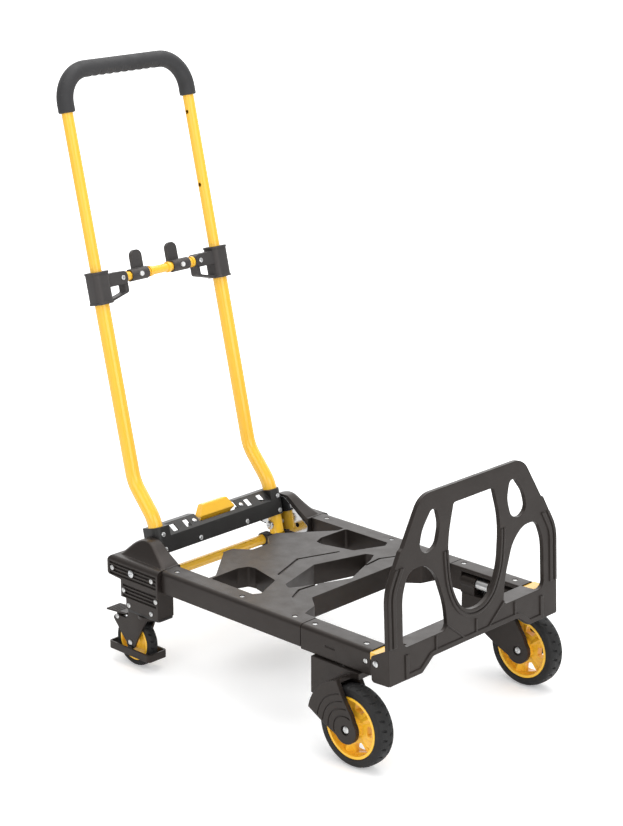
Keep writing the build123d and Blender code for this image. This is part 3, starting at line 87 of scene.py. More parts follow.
class Tree:
    """Node tree of one material, with short calls for the nodes that the finishes share."""

    edge_samples: int = 6
    mix_share, mix_one, mix_two, mix_result = 0, 6, 7, 2    # colour sockets of a Mix node, whose names repeat

    def __init__(self, name: str) -> None:
        """Start a material whose surface is one principled shader.

        Args:
            name: name of the new material.
        """
        self.material = bpy.data.materials.new(name)
        self.material.use_nodes = True
        self.nodes = self.material.node_tree.nodes
        self.links = self.material.node_tree.links
        self.nodes.clear()
        out = self.nodes.new("ShaderNodeOutputMaterial")
        self.bsdf = self.nodes.new("ShaderNodeBsdfPrincipled")
        self.links.new(self.bsdf.outputs["BSDF"], out.inputs["Surface"])
        self.place = self.nodes.new("ShaderNodeTexCoord").outputs["Object"]

    def stretched(self, scale: Triple) -> bpy.types.NodeSocket:
        """Object coordinates scaled by a Mapping node.

        Args:
            scale: factor along each axis.
        Returns:
            The scaled vector.
        """
        node = self.nodes.new("ShaderNodeMapping")
        node.inputs["Scale"].default_value = scale
        self.links.new(self.place, node.inputs["Vector"])
        return node.outputs["Vector"]

    def noise(self, scale: float, detail: float, vector: bpy.types.NodeSocket | None = None) -> bpy.types.NodeSocket:
        """Noise texture.

        Args:
            scale: waves per metre.
            detail: octaves.
            vector: coordinates, or None for plain object coordinates.
        Returns:
            The noise value.
        """
        node = self.nodes.new("ShaderNodeTexNoise")
        node.inputs["Scale"].default_value = scale
        node.inputs["Detail"].default_value = detail
        self.links.new(vector or self.place, node.inputs["Vector"])
        return node.outputs["Fac"]

    def cells(self, scale: float) -> bpy.types.NodeSocket:
        """Distance to the nearest cell centre.

        Args:
            scale: cells per metre.
        Returns:
            The distance value.
        """
        node = self.nodes.new("ShaderNodeTexVoronoi")
        node.inputs["Scale"].default_value = scale
        self.links.new(self.place, node.inputs["Vector"])
        return node.outputs["Distance"]

    def spread(self, value: bpy.types.NodeSocket, low: float, high: float, to_low: float, to_high: float
               ) -> bpy.types.NodeSocket:
        """Map one range of a value to another, clamped.

        Args:
            value: input.
            low: start of the input range.
            high: end of the input range.
            to_low: result at the start.
            to_high: result at the end.
        Returns:
            The mapped value.
        """
        node = self.nodes.new("ShaderNodeMapRange")
        for key, number in (("From Min", low), ("From Max", high), ("To Min", to_low), ("To Max", to_high)):
            node.inputs[key].default_value = number
        self.links.new(value, node.inputs["Value"])
        return node.outputs["Result"]

    def blend(self, share: bpy.types.NodeSocket, one: Colour | bpy.types.NodeSocket, two: Colour
              ) -> bpy.types.NodeSocket:
        """Mix of two colours.

        Args:
            share: part of the second colour.
            one: first colour, or a socket that gives it.
            two: second colour.
        Returns:
            The mixed colour.
        """
        node = self.nodes.new("ShaderNodeMix")
        node.data_type = "RGBA"
        self.links.new(share, node.inputs[self.mix_share])
        if isinstance(one, bpy.types.NodeSocket):
            self.links.new(one, node.inputs[self.mix_one])
        else:
            node.inputs[self.mix_one].default_value = (*one, 1.0)
        node.inputs[self.mix_two].default_value = (*two, 1.0)
        return node.outputs[self.mix_result]

    def worn_edges(self, radius: float) -> None:
        """Turn the shader's normal over the edges, as if these were worn round.

        Args:
            radius: radius of the wear, in metres.
        """
        node = self.nodes.new("ShaderNodeBevel")
        node.samples = self.edge_samples
        node.inputs["Radius"].default_value = radius
        self.links.new(node.outputs["Normal"], self.bsdf.inputs["Normal"])

    def relief(self, height: bpy.types.NodeSocket, strength: float, depth: float) -> None:
        """Bump on the shader's normal, on top of any bump or worn edge already there.

        Args:
            height: height value.
            strength: share of the bump.
            depth: height of one unit, in metres.
        """
        node = self.nodes.new("ShaderNodeBump")
        node.inputs["Strength"].default_value = strength
        node.inputs["Distance"].default_value = depth
        self.links.new(height, node.inputs["Height"])
        normal = self.bsdf.inputs["Normal"]
        if normal.is_linked:
            self.links.new(normal.links[0].from_socket, node.inputs["Normal"])
        self.links.new(node.outputs["Normal"], normal)


@dataclass(frozen=True)
class Finish:
    """Finish of one material: colour with patches and scuffs, roughness, grain and gloss.

    Scales are waves per metre, ranges and starts are values of a noise, and depth and wear are metres.
    """

    name: str
    colour: Colour
    patch: Colour
    scuff: Colour
    rough: Range
    grain: float
    depth: float
    patch_scale: float = 9.0
    patch_detail: float = 3.0
    patch_range: Range = (0.35, 0.65)
    scuff_scale: float = 140.0
    scuff_detail: float = 5.0
    scuff_stretch: Triple = (1.0, 0.35, 1.6)
    scuff_start: float = 0.66
    scuff_end: float = 0.8
    scuff_share: float = 0.5
    rough_scale: float = 38.0
    rough_detail: float = 4.0
    rough_range: Range = (0.3, 0.7)
    grain_detail: float = 2.0
    grain_share: float = 0.35
    metallic: float = 0.0
    coat: float = 0.0
    coat_rough: float = 0.12
    specular: float = 0.5
    wear: float = 0.0

    def build(self) -> bpy.types.Material:
        """Material with the finish's colour, roughness and grain.

        Returns:
            The new material.
        """
        tree = Tree(self.name)
        patches = tree.spread(tree.noise(self.patch_scale, self.patch_detail), *self.patch_range, 0.0, 1.0)
        colour = tree.blend(patches, self.colour, self.patch)
        streaks = tree.noise(self.scuff_scale, self.scuff_detail, tree.stretched(self.scuff_stretch))
        marks = tree.spread(streaks, self.scuff_start, self.scuff_end, 0.0, self.scuff_share)
        colour = tree.blend(marks, colour, self.scuff)
        tree.links.new(colour, tree.bsdf.inputs["Base Color"])
        rough = tree.spread(tree.noise(self.rough_scale, self.rough_detail), *self.rough_range, *self.rough)
        tree.links.new(rough, tree.bsdf.inputs["Roughness"])
        tree.bsdf.inputs["Metallic"].default_value = self.metallic
        tree.bsdf.inputs["Specular IOR Level"].default_value = self.specular
        tree.bsdf.inputs["Coat Weight"].default_value = self.coat
        tree.bsdf.inputs["Coat Roughness"].default_value = self.coat_rough
        if self.wear:
            tree.worn_edges(self.wear)
        self.surface(tree)
        return tree.material

    def surface(self, tree: Tree) -> None:
        """Fine grain of the surface.

        Args:
            tree: material to add the grain to.
        """
        tree.relief(tree.noise(self.grain, self.grain_detail), self.grain_share, self.depth)


@dataclass(frozen=True)
class Moulded(Finish):
    """Spark-eroded mould texture: fine grain over slow waves from cooling."""

    tint: Colour = (1.0, 0.90, 0.85)
    wave_scale: float = 26.0
    wave_detail: float = 1.0
    wave_share: float = 0.25
    wave_depth: float = 0.0009
    cell_share: float = 0.4

    def surface(self, tree: Tree) -> None:
        """Warm shine, slow sink waves and grain of small cells.

        Args:
            tree: material to add the grain to.
        """
        tree.bsdf.inputs["Specular Tint"].default_value = (*self.tint, 1.0)
        tree.relief(tree.noise(self.wave_scale, self.wave_detail), self.wave_share, self.wave_depth)
        tree.relief(tree.cells(self.grain), self.cell_share, self.depth)


@dataclass(frozen=True)
class Plated(Finish):
    """Bright plated steel with drawn lines."""

    line_detail: float = 3.0
    line_stretch: Triple = (1.0, 1.0, 0.06)
    line_share: float = 0.25

    def surface(self, tree: Tree) -> None:
        """Fine lines along one direction.

        Args:
            tree: material to add the lines to.
        """
        lines = tree.noise(self.grain, self.line_detail, tree.stretched(self.line_stretch))
        tree.relief(lines, self.line_share, self.depth)


class Skin(Enum):
    """Finishes of the truck: those of the record's material slots, and some of single families of nodes."""

    yellow_steel = Finish("yellow_powder_coat", (0.95, 0.540, 0.038), (0.94, 0.520, 0.033), (0.97, 0.60, 0.083),
                          rough=(0.19, 0.27), grain=420.0, depth=0.00004, scuff_start=0.7, coat=0.6)
    black_steel = Finish("black_powder_coat", (0.0138, 0.0131, 0.0124), (0.0182, 0.0171, 0.0163), (0.05, 0.047, 0.044),
                         rough=(0.34, 0.48), grain=650.0, depth=0.00016, wear=0.0012)
    zinc_steel = Plated("bright_zinc", (0.76, 0.76, 0.75), (0.66, 0.67, 0.68), (0.46, 0.46, 0.45),
                        rough=(0.24, 0.36), grain=900.0, depth=0.00005, patch_scale=40.0, metallic=1.0)
    polished_zinc = Plated("polished_zinc", (0.60, 0.60, 0.60), (0.54, 0.55, 0.56), (0.40, 0.40, 0.39),
                           rough=(0.07, 0.13), grain=600.0, depth=0.00001, patch_scale=24.0, scuff_start=0.74,
                           metallic=1.0)
    brushed_zinc = Plated("brushed_zinc", (0.90, 0.90, 0.89), (0.84, 0.84, 0.84), (0.60, 0.60, 0.59),
                          rough=(0.48, 0.60), grain=900.0, depth=0.00005, patch_scale=40.0, metallic=0.55)
    black_plastic = Moulded("moulded_plastic", (0.0150, 0.0121, 0.0106), (0.0191, 0.0158, 0.0141), (0.05, 0.045, 0.041),
                            rough=(0.28, 0.41), grain=1500.0, depth=0.00009, scuff_start=0.7, specular=0.36,
                            wear=0.0018)
    satin_plastic = Moulded("satin_plastic", (0.0396, 0.0380, 0.0385), (0.0451, 0.0435, 0.0440), (0.075, 0.072, 0.072),
                            rough=(0.40, 0.54), grain=1500.0, depth=0.00008, scuff_start=0.7, wear=0.0015)
    yellow_plastic = Finish("wheel_yellow", (0.99, 0.570, 0.040), (0.98, 0.530, 0.033), (0.98, 0.64, 0.13),
                            rough=(0.22, 0.34), grain=500.0, depth=0.00006, coat=0.2, wear=0.0012)
    grip_rubber = Finish("grip_rubber", (0.0286, 0.0281, 0.0297), (0.0352, 0.0347, 0.0363), (0.07, 0.07, 0.07),
                         rough=(0.55, 0.70), grain=1800.0, depth=0.00014)
    tyre_rubber = Finish("tyre_rubber", (0.0105, 0.0105, 0.0108), (0.0154, 0.0151, 0.0149), (0.045, 0.043, 0.041),
                         rough=(0.46, 0.66), grain=1300.0, depth=0.00016, scuff_start=0.64, specular=0.34)


@dataclass
class Wardrobe:
    """Materials of the truck, each built once."""

    made: dict[str, bpy.types.Material] = field(default_factory=dict)

    def get(self, skin: str) -> bpy.types.Material:
        """Material of a finish.

        Args:
            skin: name of the finish, as in Skin.
        Returns:
            The finish's material.
        """
        if skin not in self.made:
            self.made[skin] = Skin[skin].value.build()
        return self.made[skin]


@dataclass
class Truck:
    """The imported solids, each node's slot and body, and the families of nodes with a finish of their own."""

    frame: dict
    wardrobe: Wardrobe
    slots: dict[str, str] = field(default_factory=dict)
    bodies: dict[str, str] = field(default_factory=dict)
    looks: dict[str, str] = field(default_factory=lambda: {
        "lock_quadrant": "polished_zinc", "caster_plate": "black_steel", "collar_screws": "zinc_steel",
        "collar": "satin_plastic", "release_tab": "satin_plastic", "telescope_pin": "brushed_zinc"})

    def __post_init__(self) -> None:
        """Read each node's slot and body from the record."""
        record = self.frame["record"]
        self.slots = {part["node"]: part["material_slot"] for part in record["subparts"]}
        for body, nodes in record["behaviour"]["bodies"].items():
            self.bodies.update({node: body for node in nodes})

    def look(self, node: str) -> str:
        """Finish of a node: that of the first family in looks that its name starts with, or that of its slot."""
        return next((skin for family, skin in self.looks.items() if node.startswith(family)), self.slots[node])

    def add(self, name: str, mesh: bpy.types.Mesh, node: str, skin: str | None = None) -> bpy.types.Object:
        """Put a new piece in the scene in place of a node.

        Args:
            name: name of the piece.
            mesh: its finished mesh, in place.
            node: node that it stands for.
            skin: finish of the piece, or None for the node's own.
        Returns:
            The new object.
        """
        piece = bpy.data.objects.new(name, mesh)
        bpy.context.scene.collection.objects.link(piece)
        mesh.materials.clear()
        look = skin or self.look(node)
        mesh.materials.append(self.wardrobe.get(look))
        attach(piece, self.bodies[node])
        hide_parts(node)
        LOG.info("piece %s stands for %s", name, node)
        return piece


def grid_mesh(name: str, points: Array, closed: tuple[bool, bool]) -> bpy.types.Mesh:
    """Smooth quad mesh over a grid: each cell joins four neighbours, and a closed direction meets its own start.

    Args:
        name: name of the mesh.
        points: grid of points, rows by columns by 3.
        closed: whether the rows and the columns run round.
    Returns:
        The new mesh, with equal points merged and faces outward.
    """
    rows, cols = points.shape[:2]
    index = np.arange(rows * cols).reshape(rows, cols)
    if closed[0]:
        index = np.vstack([index, index[:1]])
    if closed[1]:
        index = np.hstack([index, index[:, :1]])
    cells = np.stack([index[:-1, :-1], index[1:, :-1], index[1:, 1:], index[:-1, 1:]], -1).reshape(-1, 4)
    mesh = bpy.data.meshes.new(name)
    mesh.from_pydata(points.reshape(-1, 3).tolist(), [], cells.tolist())
    tidy_mesh(mesh, GRID_MERGE, 0.0, True)
    return mesh


def tidy_mesh(mesh: bpy.types.Mesh, merge: float, flat: float, outward: bool) -> None:
    """Merge equal points, join flat neighbours and shade smooth, with sharp edges where faces turn.

    Args:
        mesh: mesh to change.
        merge: distance at which points are one.
        flat: angle below which neighbouring faces become one, or 0.
        outward: whether the faces are turned outward anew.
    """
    work = bmesh.new()
    work.from_mesh(mesh)
    bmesh.ops.remove_doubles(work, verts=work.verts, dist=merge)
    if flat:
        bmesh.ops.dissolve_limit(work, angle_limit=flat, verts=work.verts, edges=work.edges, delimit={"NORMAL"})
    if outward:
        bmesh.ops.recalc_face_normals(work, faces=work.faces)
    work.to_mesh(mesh)
    work.free()
    mesh.polygons.foreach_set("use_smooth", np.ones(len(mesh.polygons), dtype=bool))
    mesh.set_sharp_from_angle(angle=SHARP_TURN)
    mesh.update()


def joined(name: str, parts: list[bpy.types.Mesh]) -> bpy.types.Mesh:
    """One mesh out of several.

    Args:
        name: name of the new mesh.
        parts: meshes to join, which are removed.
    Returns:
        The new mesh.
    """
    work = bmesh.new()
    for part in parts:
        work.from_mesh(part)
        bpy.data.meshes.remove(part)
    mesh = bpy.data.meshes.new(name)
    work.to_mesh(mesh)
    work.free()
    return mesh


def smooth_step(value: Array, low: float, high: float) -> Array:
    """Cubic step from 0 at low to 1 at high."""
    t = np.clip((value - low) / (high - low), 0.0, 1.0)
    return t * t * (3.0 - 2.0 * t)


@dataclass
class Solids:
    """Solids whose form is right: each gets merged faces, worn soft edges and its finish.

    Points nearer than merge are one, and so are faces that turn by less than flat; edges that turn by more than turn
    are softened by the width in soft for their family, or else by edge.
    """

    truck: Truck
    merge: float = 2e-6
    flat: float = math.radians(0.4)
    turn: float = math.radians(38.0)
    segments: int = 2
    edge: float = 0.0006
    free: tuple[str, ...] = ("lock_beam", "front_bracket", "caster_guard", "brake_pedal", "toe_hinge_block")
    soft: dict[str, float] = field(default_factory=lambda: {
        "deck_panel": 0.0012, "toe_plate": 0.0011, "rear_bracket": 0.0014, "front_bracket": 0.0007,
        "wheel_fork": 0.0012, "collar": 0.0010, "release_tab": 0.0012, "fold_lever": 0.0012, "caster_fork": 0.0008,
        "caster_guard": 0.0009})

    def width(self, node: str) -> float:
        """Width of a node's soft edge: that of its family, or the common one."""
        return next((value for key, value in self.soft.items() if node.startswith(key)), self.edge)

    def dress(self, node: str) -> None:
        """Put a copy of a solid in its place, with soft edges wherever its faces turn enough.

        A width that would overlap its neighbours is held back, apart from the families in free, which have room.

        Args:
            node: name of the solid.
        """
        mesh = self.truck.frame["nodes"][node].data.copy()
        mesh.name = f"{node}_dressed"
        if "custom_normal" in mesh.attributes:
            mesh.attributes.remove(mesh.attributes["custom_normal"])
        tidy_mesh(mesh, self.merge, self.flat, False)
        piece = self.truck.add(f"{node}_dressed", mesh, node)
        bevel = piece.modifiers.new("soft_edges", "BEVEL")
        bevel.width = self.width(node)
        bevel.segments = self.segments
        bevel.limit_method = "ANGLE"
        bevel.angle_limit = self.turn
        bevel.use_clamp_overlap = not node.startswith(self.free)
        bevel.harden_normals = True


@dataclass(frozen=True)
class Tyre:
    """Tyre with a smooth wall and a crowned tread of staggered lugs on both shoulders.

    The cuts' width, edge and slant are shares of the lugs' pitch, the rib's edges are shares of the half width, and the
    crown's insets count parts of it.
    """

    node: str
    lugs: int
    bore: float
    depth: float = 0.0028
    cut: float = 0.21
    cut_edge: float = 0.05
    slant: float = 0.35
    rib: Range = (0.14, 0.22)
    bead_rise: Pair = (0.0006, 0.003)
    bead_inset: Pair = (0.001, 0.0002)
    wall_fall: float = 0.006
    wall_inset: float = 0.0003
    crown_fall: Triple = (0.0035, 0.0015, 0.0003)
    crown_inset: Triple = (0.4, 1.0, 2.0)
    crown_parts: float = 3.5
    stations: tuple[float, ...] = (0.0, 3.0, 5.0, 8.0, 12.0, 16.0, 21.0, 29.0, 40.0)
    points: int = 61
    steps: int = 20

    def section(self, radius: float, half: float) -> tuple[Array, Array]:
        """Closed section of the tyre: straight runs between the corners of bore, bead, bulging wall and crown.

        The corners of one half stand at the stations, evenly spaced points are read between them, and the other half
        is its mirror.

        Args:
            radius: outer radius.
            half: half width.
        Returns:
            Radius and place across the tyre of each point.
        """
        part = half / self.crown_parts
        corner_r = [self.bore, *(self.bore + rise for rise in self.bead_rise), (self.bore + radius) / 2,
                    radius - self.wall_fall, *(radius - fall for fall in self.crown_fall), radius]
        corner_y = [0.0, *(half - inset for inset in self.bead_inset), half, half - self.wall_inset,
                    *(half - inset * part for inset in self.crown_inset), 0.0]
        at = np.linspace(0.0, self.stations[-1], self.points)
        r, y = np.interp(at, self.stations, corner_r), np.interp(at, self.stations, corner_y)
        return np.concatenate([r, r[-2:0:-1]]), np.concatenate([y, -y[-2:0:-1]])

    def mesh(self) -> bpy.types.Mesh:
        """Section carried round the axle; the radius drops to the tread's floor in the cuts between the lugs.

        The cuts slant round the tyre toward its middle rib, and those of one side stand between those of the other.

        Returns:
            The tyre's mesh, in place.
        """
        low, high = (np.array(corner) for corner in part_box(self.node))
        centre, radius, half = (low + high) / 2, (high[2] - low[2]) / 2, (high[1] - low[1]) / 2
        r, y = self.section(radius, half)
        turn = np.linspace(0.0, 2 * np.pi, self.lugs * self.steps, endpoint=False)[:, None]
        lean = self.slant * (1.0 - np.abs(y) / half)
        phase = turn * self.lugs / (2 * np.pi) + (np.where(y > 0, 0.0, 0.5) + lean)[None, :]
        cut = 0.5 * self.cut
        gap = 1.0 - smooth_step(np.abs(phase % 1.0 - 0.5), cut - self.cut_edge, cut + self.cut_edge)
        shoulder = smooth_step(np.abs(y), half * self.rib[0], half * self.rib[1])[None, :]
        drop = np.maximum(r - radius + self.depth, 0.0)[None, :] * gap * shoulder
        rr = r[None, :] - drop
        yy = np.broadcast_to(y[None, :], rr.shape)
        points = centre + np.stack([rr * np.cos(turn), yy, rr * np.sin(turn)], -1)
        return grid_mesh(f"{self.node}_tread", points, (True, True))


@dataclass(frozen=True)
class HandleFrame:
    """Frame of the leaning handle: lx forward across it, y left and u up along it."""

    lean: float = math.radians(13.2)
    pivot: Triple = (-0.19082, 0.0, 0.190)

    def place(self, lx: Array, y: Array, u: Array) -> Array:
        """Points of the handle in the truck's frame: lx and u turned back by the lean, from the pivot."""
        c, s = math.cos(self.lean), math.sin(self.lean)
        return np.stack(np.broadcast_arrays(lx * c - u * s, y, lx * s + u * c), -1) + np.array(self.pivot)

    def direction(self, lx: float, u: float) -> Array:
        """Direction of the handle's frame, turned back by the lean and of length one."""
        c, s = math.cos(self.lean), math.sin(self.lean)
        return np.array([lx * c - u * s, 0.0, lx * s + u * c]) / math.hypot(lx, u)


@dataclass(frozen=True)
class Grip:
    """Rubber grip over the bow, with finger ridges below its straight part.

    A ridge's rise and fall are shares of the pitch, and underside is where the ridges fade in, from the grip's side
    at 0 to its lowest line at 1.
    """

    handle: HandleFrame = HandleFrame()
    offset: float = -0.0385
    leg: float = 0.152
    low: float = 0.858
    top: float = 0.934
    bend: float = 0.060
    radius: float = 0.016
    bore: float = 0.01105
    lip: float = 0.0022
    ridges: int = 9
    pitch: float = 0.0185
    depth: float = 0.0017
    fade: float = 0.001
    ridge_rise: Range = (0.0, 0.82)
    ridge_fall: Range = (0.86, 1.0)
    underside: Range = (0.15, 0.75)
    straight: float = 0.01
    leg_points: int = 10
    bend_points: int = 26
    run_points: int = 230
    round_sides: int = 56

    def path(self) -> tuple[Array, Array, Array]:
        """Line of the bow: up one leg, a quarter circle, along the top, a quarter circle and down the other leg.

        Returns:
            Place across, place along, and the direction of the outside as an angle from straight up.
        """
        flat = self.leg - self.bend
        rise = np.linspace(self.low, self.top - self.bend, self.leg_points)
        arc = np.linspace(0.0, np.pi / 2, self.bend_points)[1:]
        run = np.linspace(-flat, flat, self.run_points)[1:]
        y = np.concatenate([np.full(rise.size, -self.leg), -flat - self.bend * np.cos(arc), run])
        u = np.concatenate([rise, self.top - self.bend + self.bend * np.sin(arc), np.full(run.size, self.top)])
        out = np.concatenate([np.full(rise.size, -np.pi / 2), arc - np.pi / 2, np.zeros(run.size)])
        back = slice(rise.size + arc.size - 2, None, -1)    # without the bend's last point, where the run ends already
        return np.concatenate([y, -y[back]]), np.concatenate([u, u[back]]), np.concatenate([out, -out[back]])

    def mesh(self) -> bpy.types.Mesh:
        """Circle carried along the bow and back through its bore; a saw wave cuts the underside, ends are round.

        Returns:
            The grip's mesh, in place.
        """
        y, u, out = self.path()
        turn = np.linspace(0.0, 2 * np.pi, self.round_sides, endpoint=False)[None, :]
        saw = (y / self.pitch + 0.5) % 1.0
        tooth = smooth_step(saw, *self.ridge_rise) * (1.0 - smooth_step(saw, *self.ridge_fall))
        half = self.pitch * self.ridges / 2
        span = 1.0 - smooth_step(np.abs(y), half - self.fade, half)
        below = smooth_step(-np.cos(turn), *self.underside) * (np.abs(out) < self.straight)[:, None]
        reach = self.radius - self.depth * ((1.0 - tooth) * span)[:, None] * below
        along = np.concatenate([[0.0], np.cumsum(np.hypot(np.diff(y), np.diff(u)))])
        end = np.minimum(along, along[-1] - along)
        fall = self.lip - np.sqrt(np.maximum(self.lip * self.lip - np.maximum(self.lip - end, 0.0) ** 2, 0.0))
        reach = reach - fall[:, None]
        reach = np.vstack([reach, np.full_like(reach, self.bore)])
        order = np.concatenate([np.arange(y.size), np.arange(y.size)[::-1]])
        y, u, out = y[order][:, None], u[order][:, None], out[order][:, None]
        across = y + reach * np.cos(turn) * np.sin(out)
        along_u = u + reach * np.cos(turn) * np.cos(out)
        points = self.handle.place(self.offset + reach * np.sin(turn), across, along_u)
        return grid_mesh("handle_grip_rubber", points, (True, True))


@dataclass(frozen=True)
class Heads:
    """Pan heads of one node's screws or rivets, each along its own axis.

    The crest and the ends of the cross are shares of the radius, dome and rim are shares of the rise, and upright and
    level turn the cross of a head that faces sideways or not.
    """

    node: str
    places: Array
    axes: Array
    crossed: bool = True
    radius: float = 0.0046
    rise: float = 0.0022
    crest: float = 0.97
    dome: float = 0.55
    power: float = 2.6
    rim: float = 0.34
    arm: Range = (0.0004, 0.0009)
    arm_end: Range = (0.52, 0.64)
    arm_depth: float = 0.0013
    upright: Triple = (0.31, 0.0, 0.95)
    level: Triple = (0.0, 1.0, 0.0)
    facets: int = 40
    rings: int = 15

    def head(self) -> Array:
        """Head as a grid of radius and angle: a flat dome with a cross cut into it, then a rim, closed below.

        The dome falls with a power of the radius, and the cross sinks along two lines through the middle.

        Returns:
            Rows by columns by 3, with the axis as the third coordinate.
        """
        turn = np.linspace(0.0, 2 * np.pi, self.facets, endpoint=False)[None, :]
        r = np.concatenate([np.linspace(0.0, self.crest, self.rings), [1.0, 1.0, 0.0]])[:, None] * self.radius
        ball = self.rise * (1.0 - self.dome * (r / self.radius) ** self.power)
        ball[self.rings:, 0] = (self.rise * self.rim, 0.0, 0.0)
        x, y = r * np.cos(turn), r * np.sin(turn)
        height = np.broadcast_to(ball, x.shape).copy()
        if self.crossed:
            arm = 1.0 - smooth_step(np.minimum(np.abs(x), np.abs(y)), *self.arm)
            arm = arm * (1.0 - smooth_step(r, self.radius * self.arm_end[0], self.radius * self.arm_end[1]))
            height[:self.rings] -= self.arm_depth * arm[:self.rings]
        return np.stack([x, y, height], -1)

    def mesh(self) -> bpy.types.Mesh:
        """All heads in one mesh: the one head turned to each axis and moved to each place.

        Returns:
            The node's mesh.
        """
        unit, parts = self.head(), []
        for place, axis in zip(self.places, self.axes):
            side = np.cross(axis, self.upright if abs(axis[1]) > 0.5 else self.level)
            side /= np.linalg.norm(side)
            basis = np.stack([side, np.cross(axis, side), axis])
            parts.append(grid_mesh("head", place + unit @ basis, (False, True)))
        return joined(f"{self.node}_heads", parts)


@dataclass(frozen=True)
class Bolt:
    """Bolts of one node, each along y: a shank with a low crossed head at one end or both.

    Ends, radii and rises give the inner end first; the crest and the ends of the cross are shares of the radius, and
    dome is a share of the rise.
    """

    node: str
    sides: tuple[float, ...]
    centre: Pair
    ends: Pair
    shank: float
    radii: Pair
    rises: Pair
    crest: float = 0.96
    dome: float = 0.45
    power: float = 2.6
    cross: float = 0.0014
    cross_end: Range = (0.5, 0.62)
    arm: Range = (0.0005, 0.0010)
    tilt: float = 0.4
    facets: int = 40
    rings: int = 15

    def half(self, end: int) -> tuple[Array, Array, Array]:
        """Line from one end's crest to the shank: a flat dome, a rim and the head's underside.

        Args:
            end: 0 for the inner end, 1 for the outer one.
        Returns:
            Radius, place along the bolt, and the depth of the cross at each point.
        """
        radius, rise, way = self.radii[end], self.rises[end], (-1.0, 1.0)[end]
        share = np.concatenate([np.linspace(0.0, self.crest, self.rings), [1.0, 1.0]])
        fall = np.append(self.dome * share[:-1] ** self.power, [1.0, 1.0]) * rise
        r = np.append(share * radius, self.shank)
        inside = 1.0 - smooth_step(r, self.cross_end[0] * radius, self.cross_end[1] * radius)
        deep = way * self.cross * inside * (rise > 0.0)
        deep[self.rings:] = 0.0
        return r, self.ends[end] - way * fall, deep

    def mesh(self) -> bpy.types.Mesh:
        """Lines of both ends joined and turned round the axis, with a cross pressed into each head.

        Returns:
            The node's mesh, in place.
        """
        lines = zip(self.half(0), self.half(1))
        r, y, deep = (np.concatenate([inner, outer[::-1]])[:, None] for inner, outer in lines)
        turn = np.linspace(0.0, 2 * np.pi, self.facets, endpoint=False)[None, :]
        arms = np.minimum(np.abs(r * np.cos(turn - self.tilt)), np.abs(r * np.sin(turn - self.tilt)))
        along = y - deep * (1.0 - smooth_step(arms, *self.arm))
        x, z = self.centre[0] + r * np.cos(turn), self.centre[1] + r * np.sin(turn)
        parts = [grid_mesh("bolt", np.stack([x, side * along, z], -1), (False, True)) for side in self.sides]
        return joined(f"{self.node}_bolt", parts)


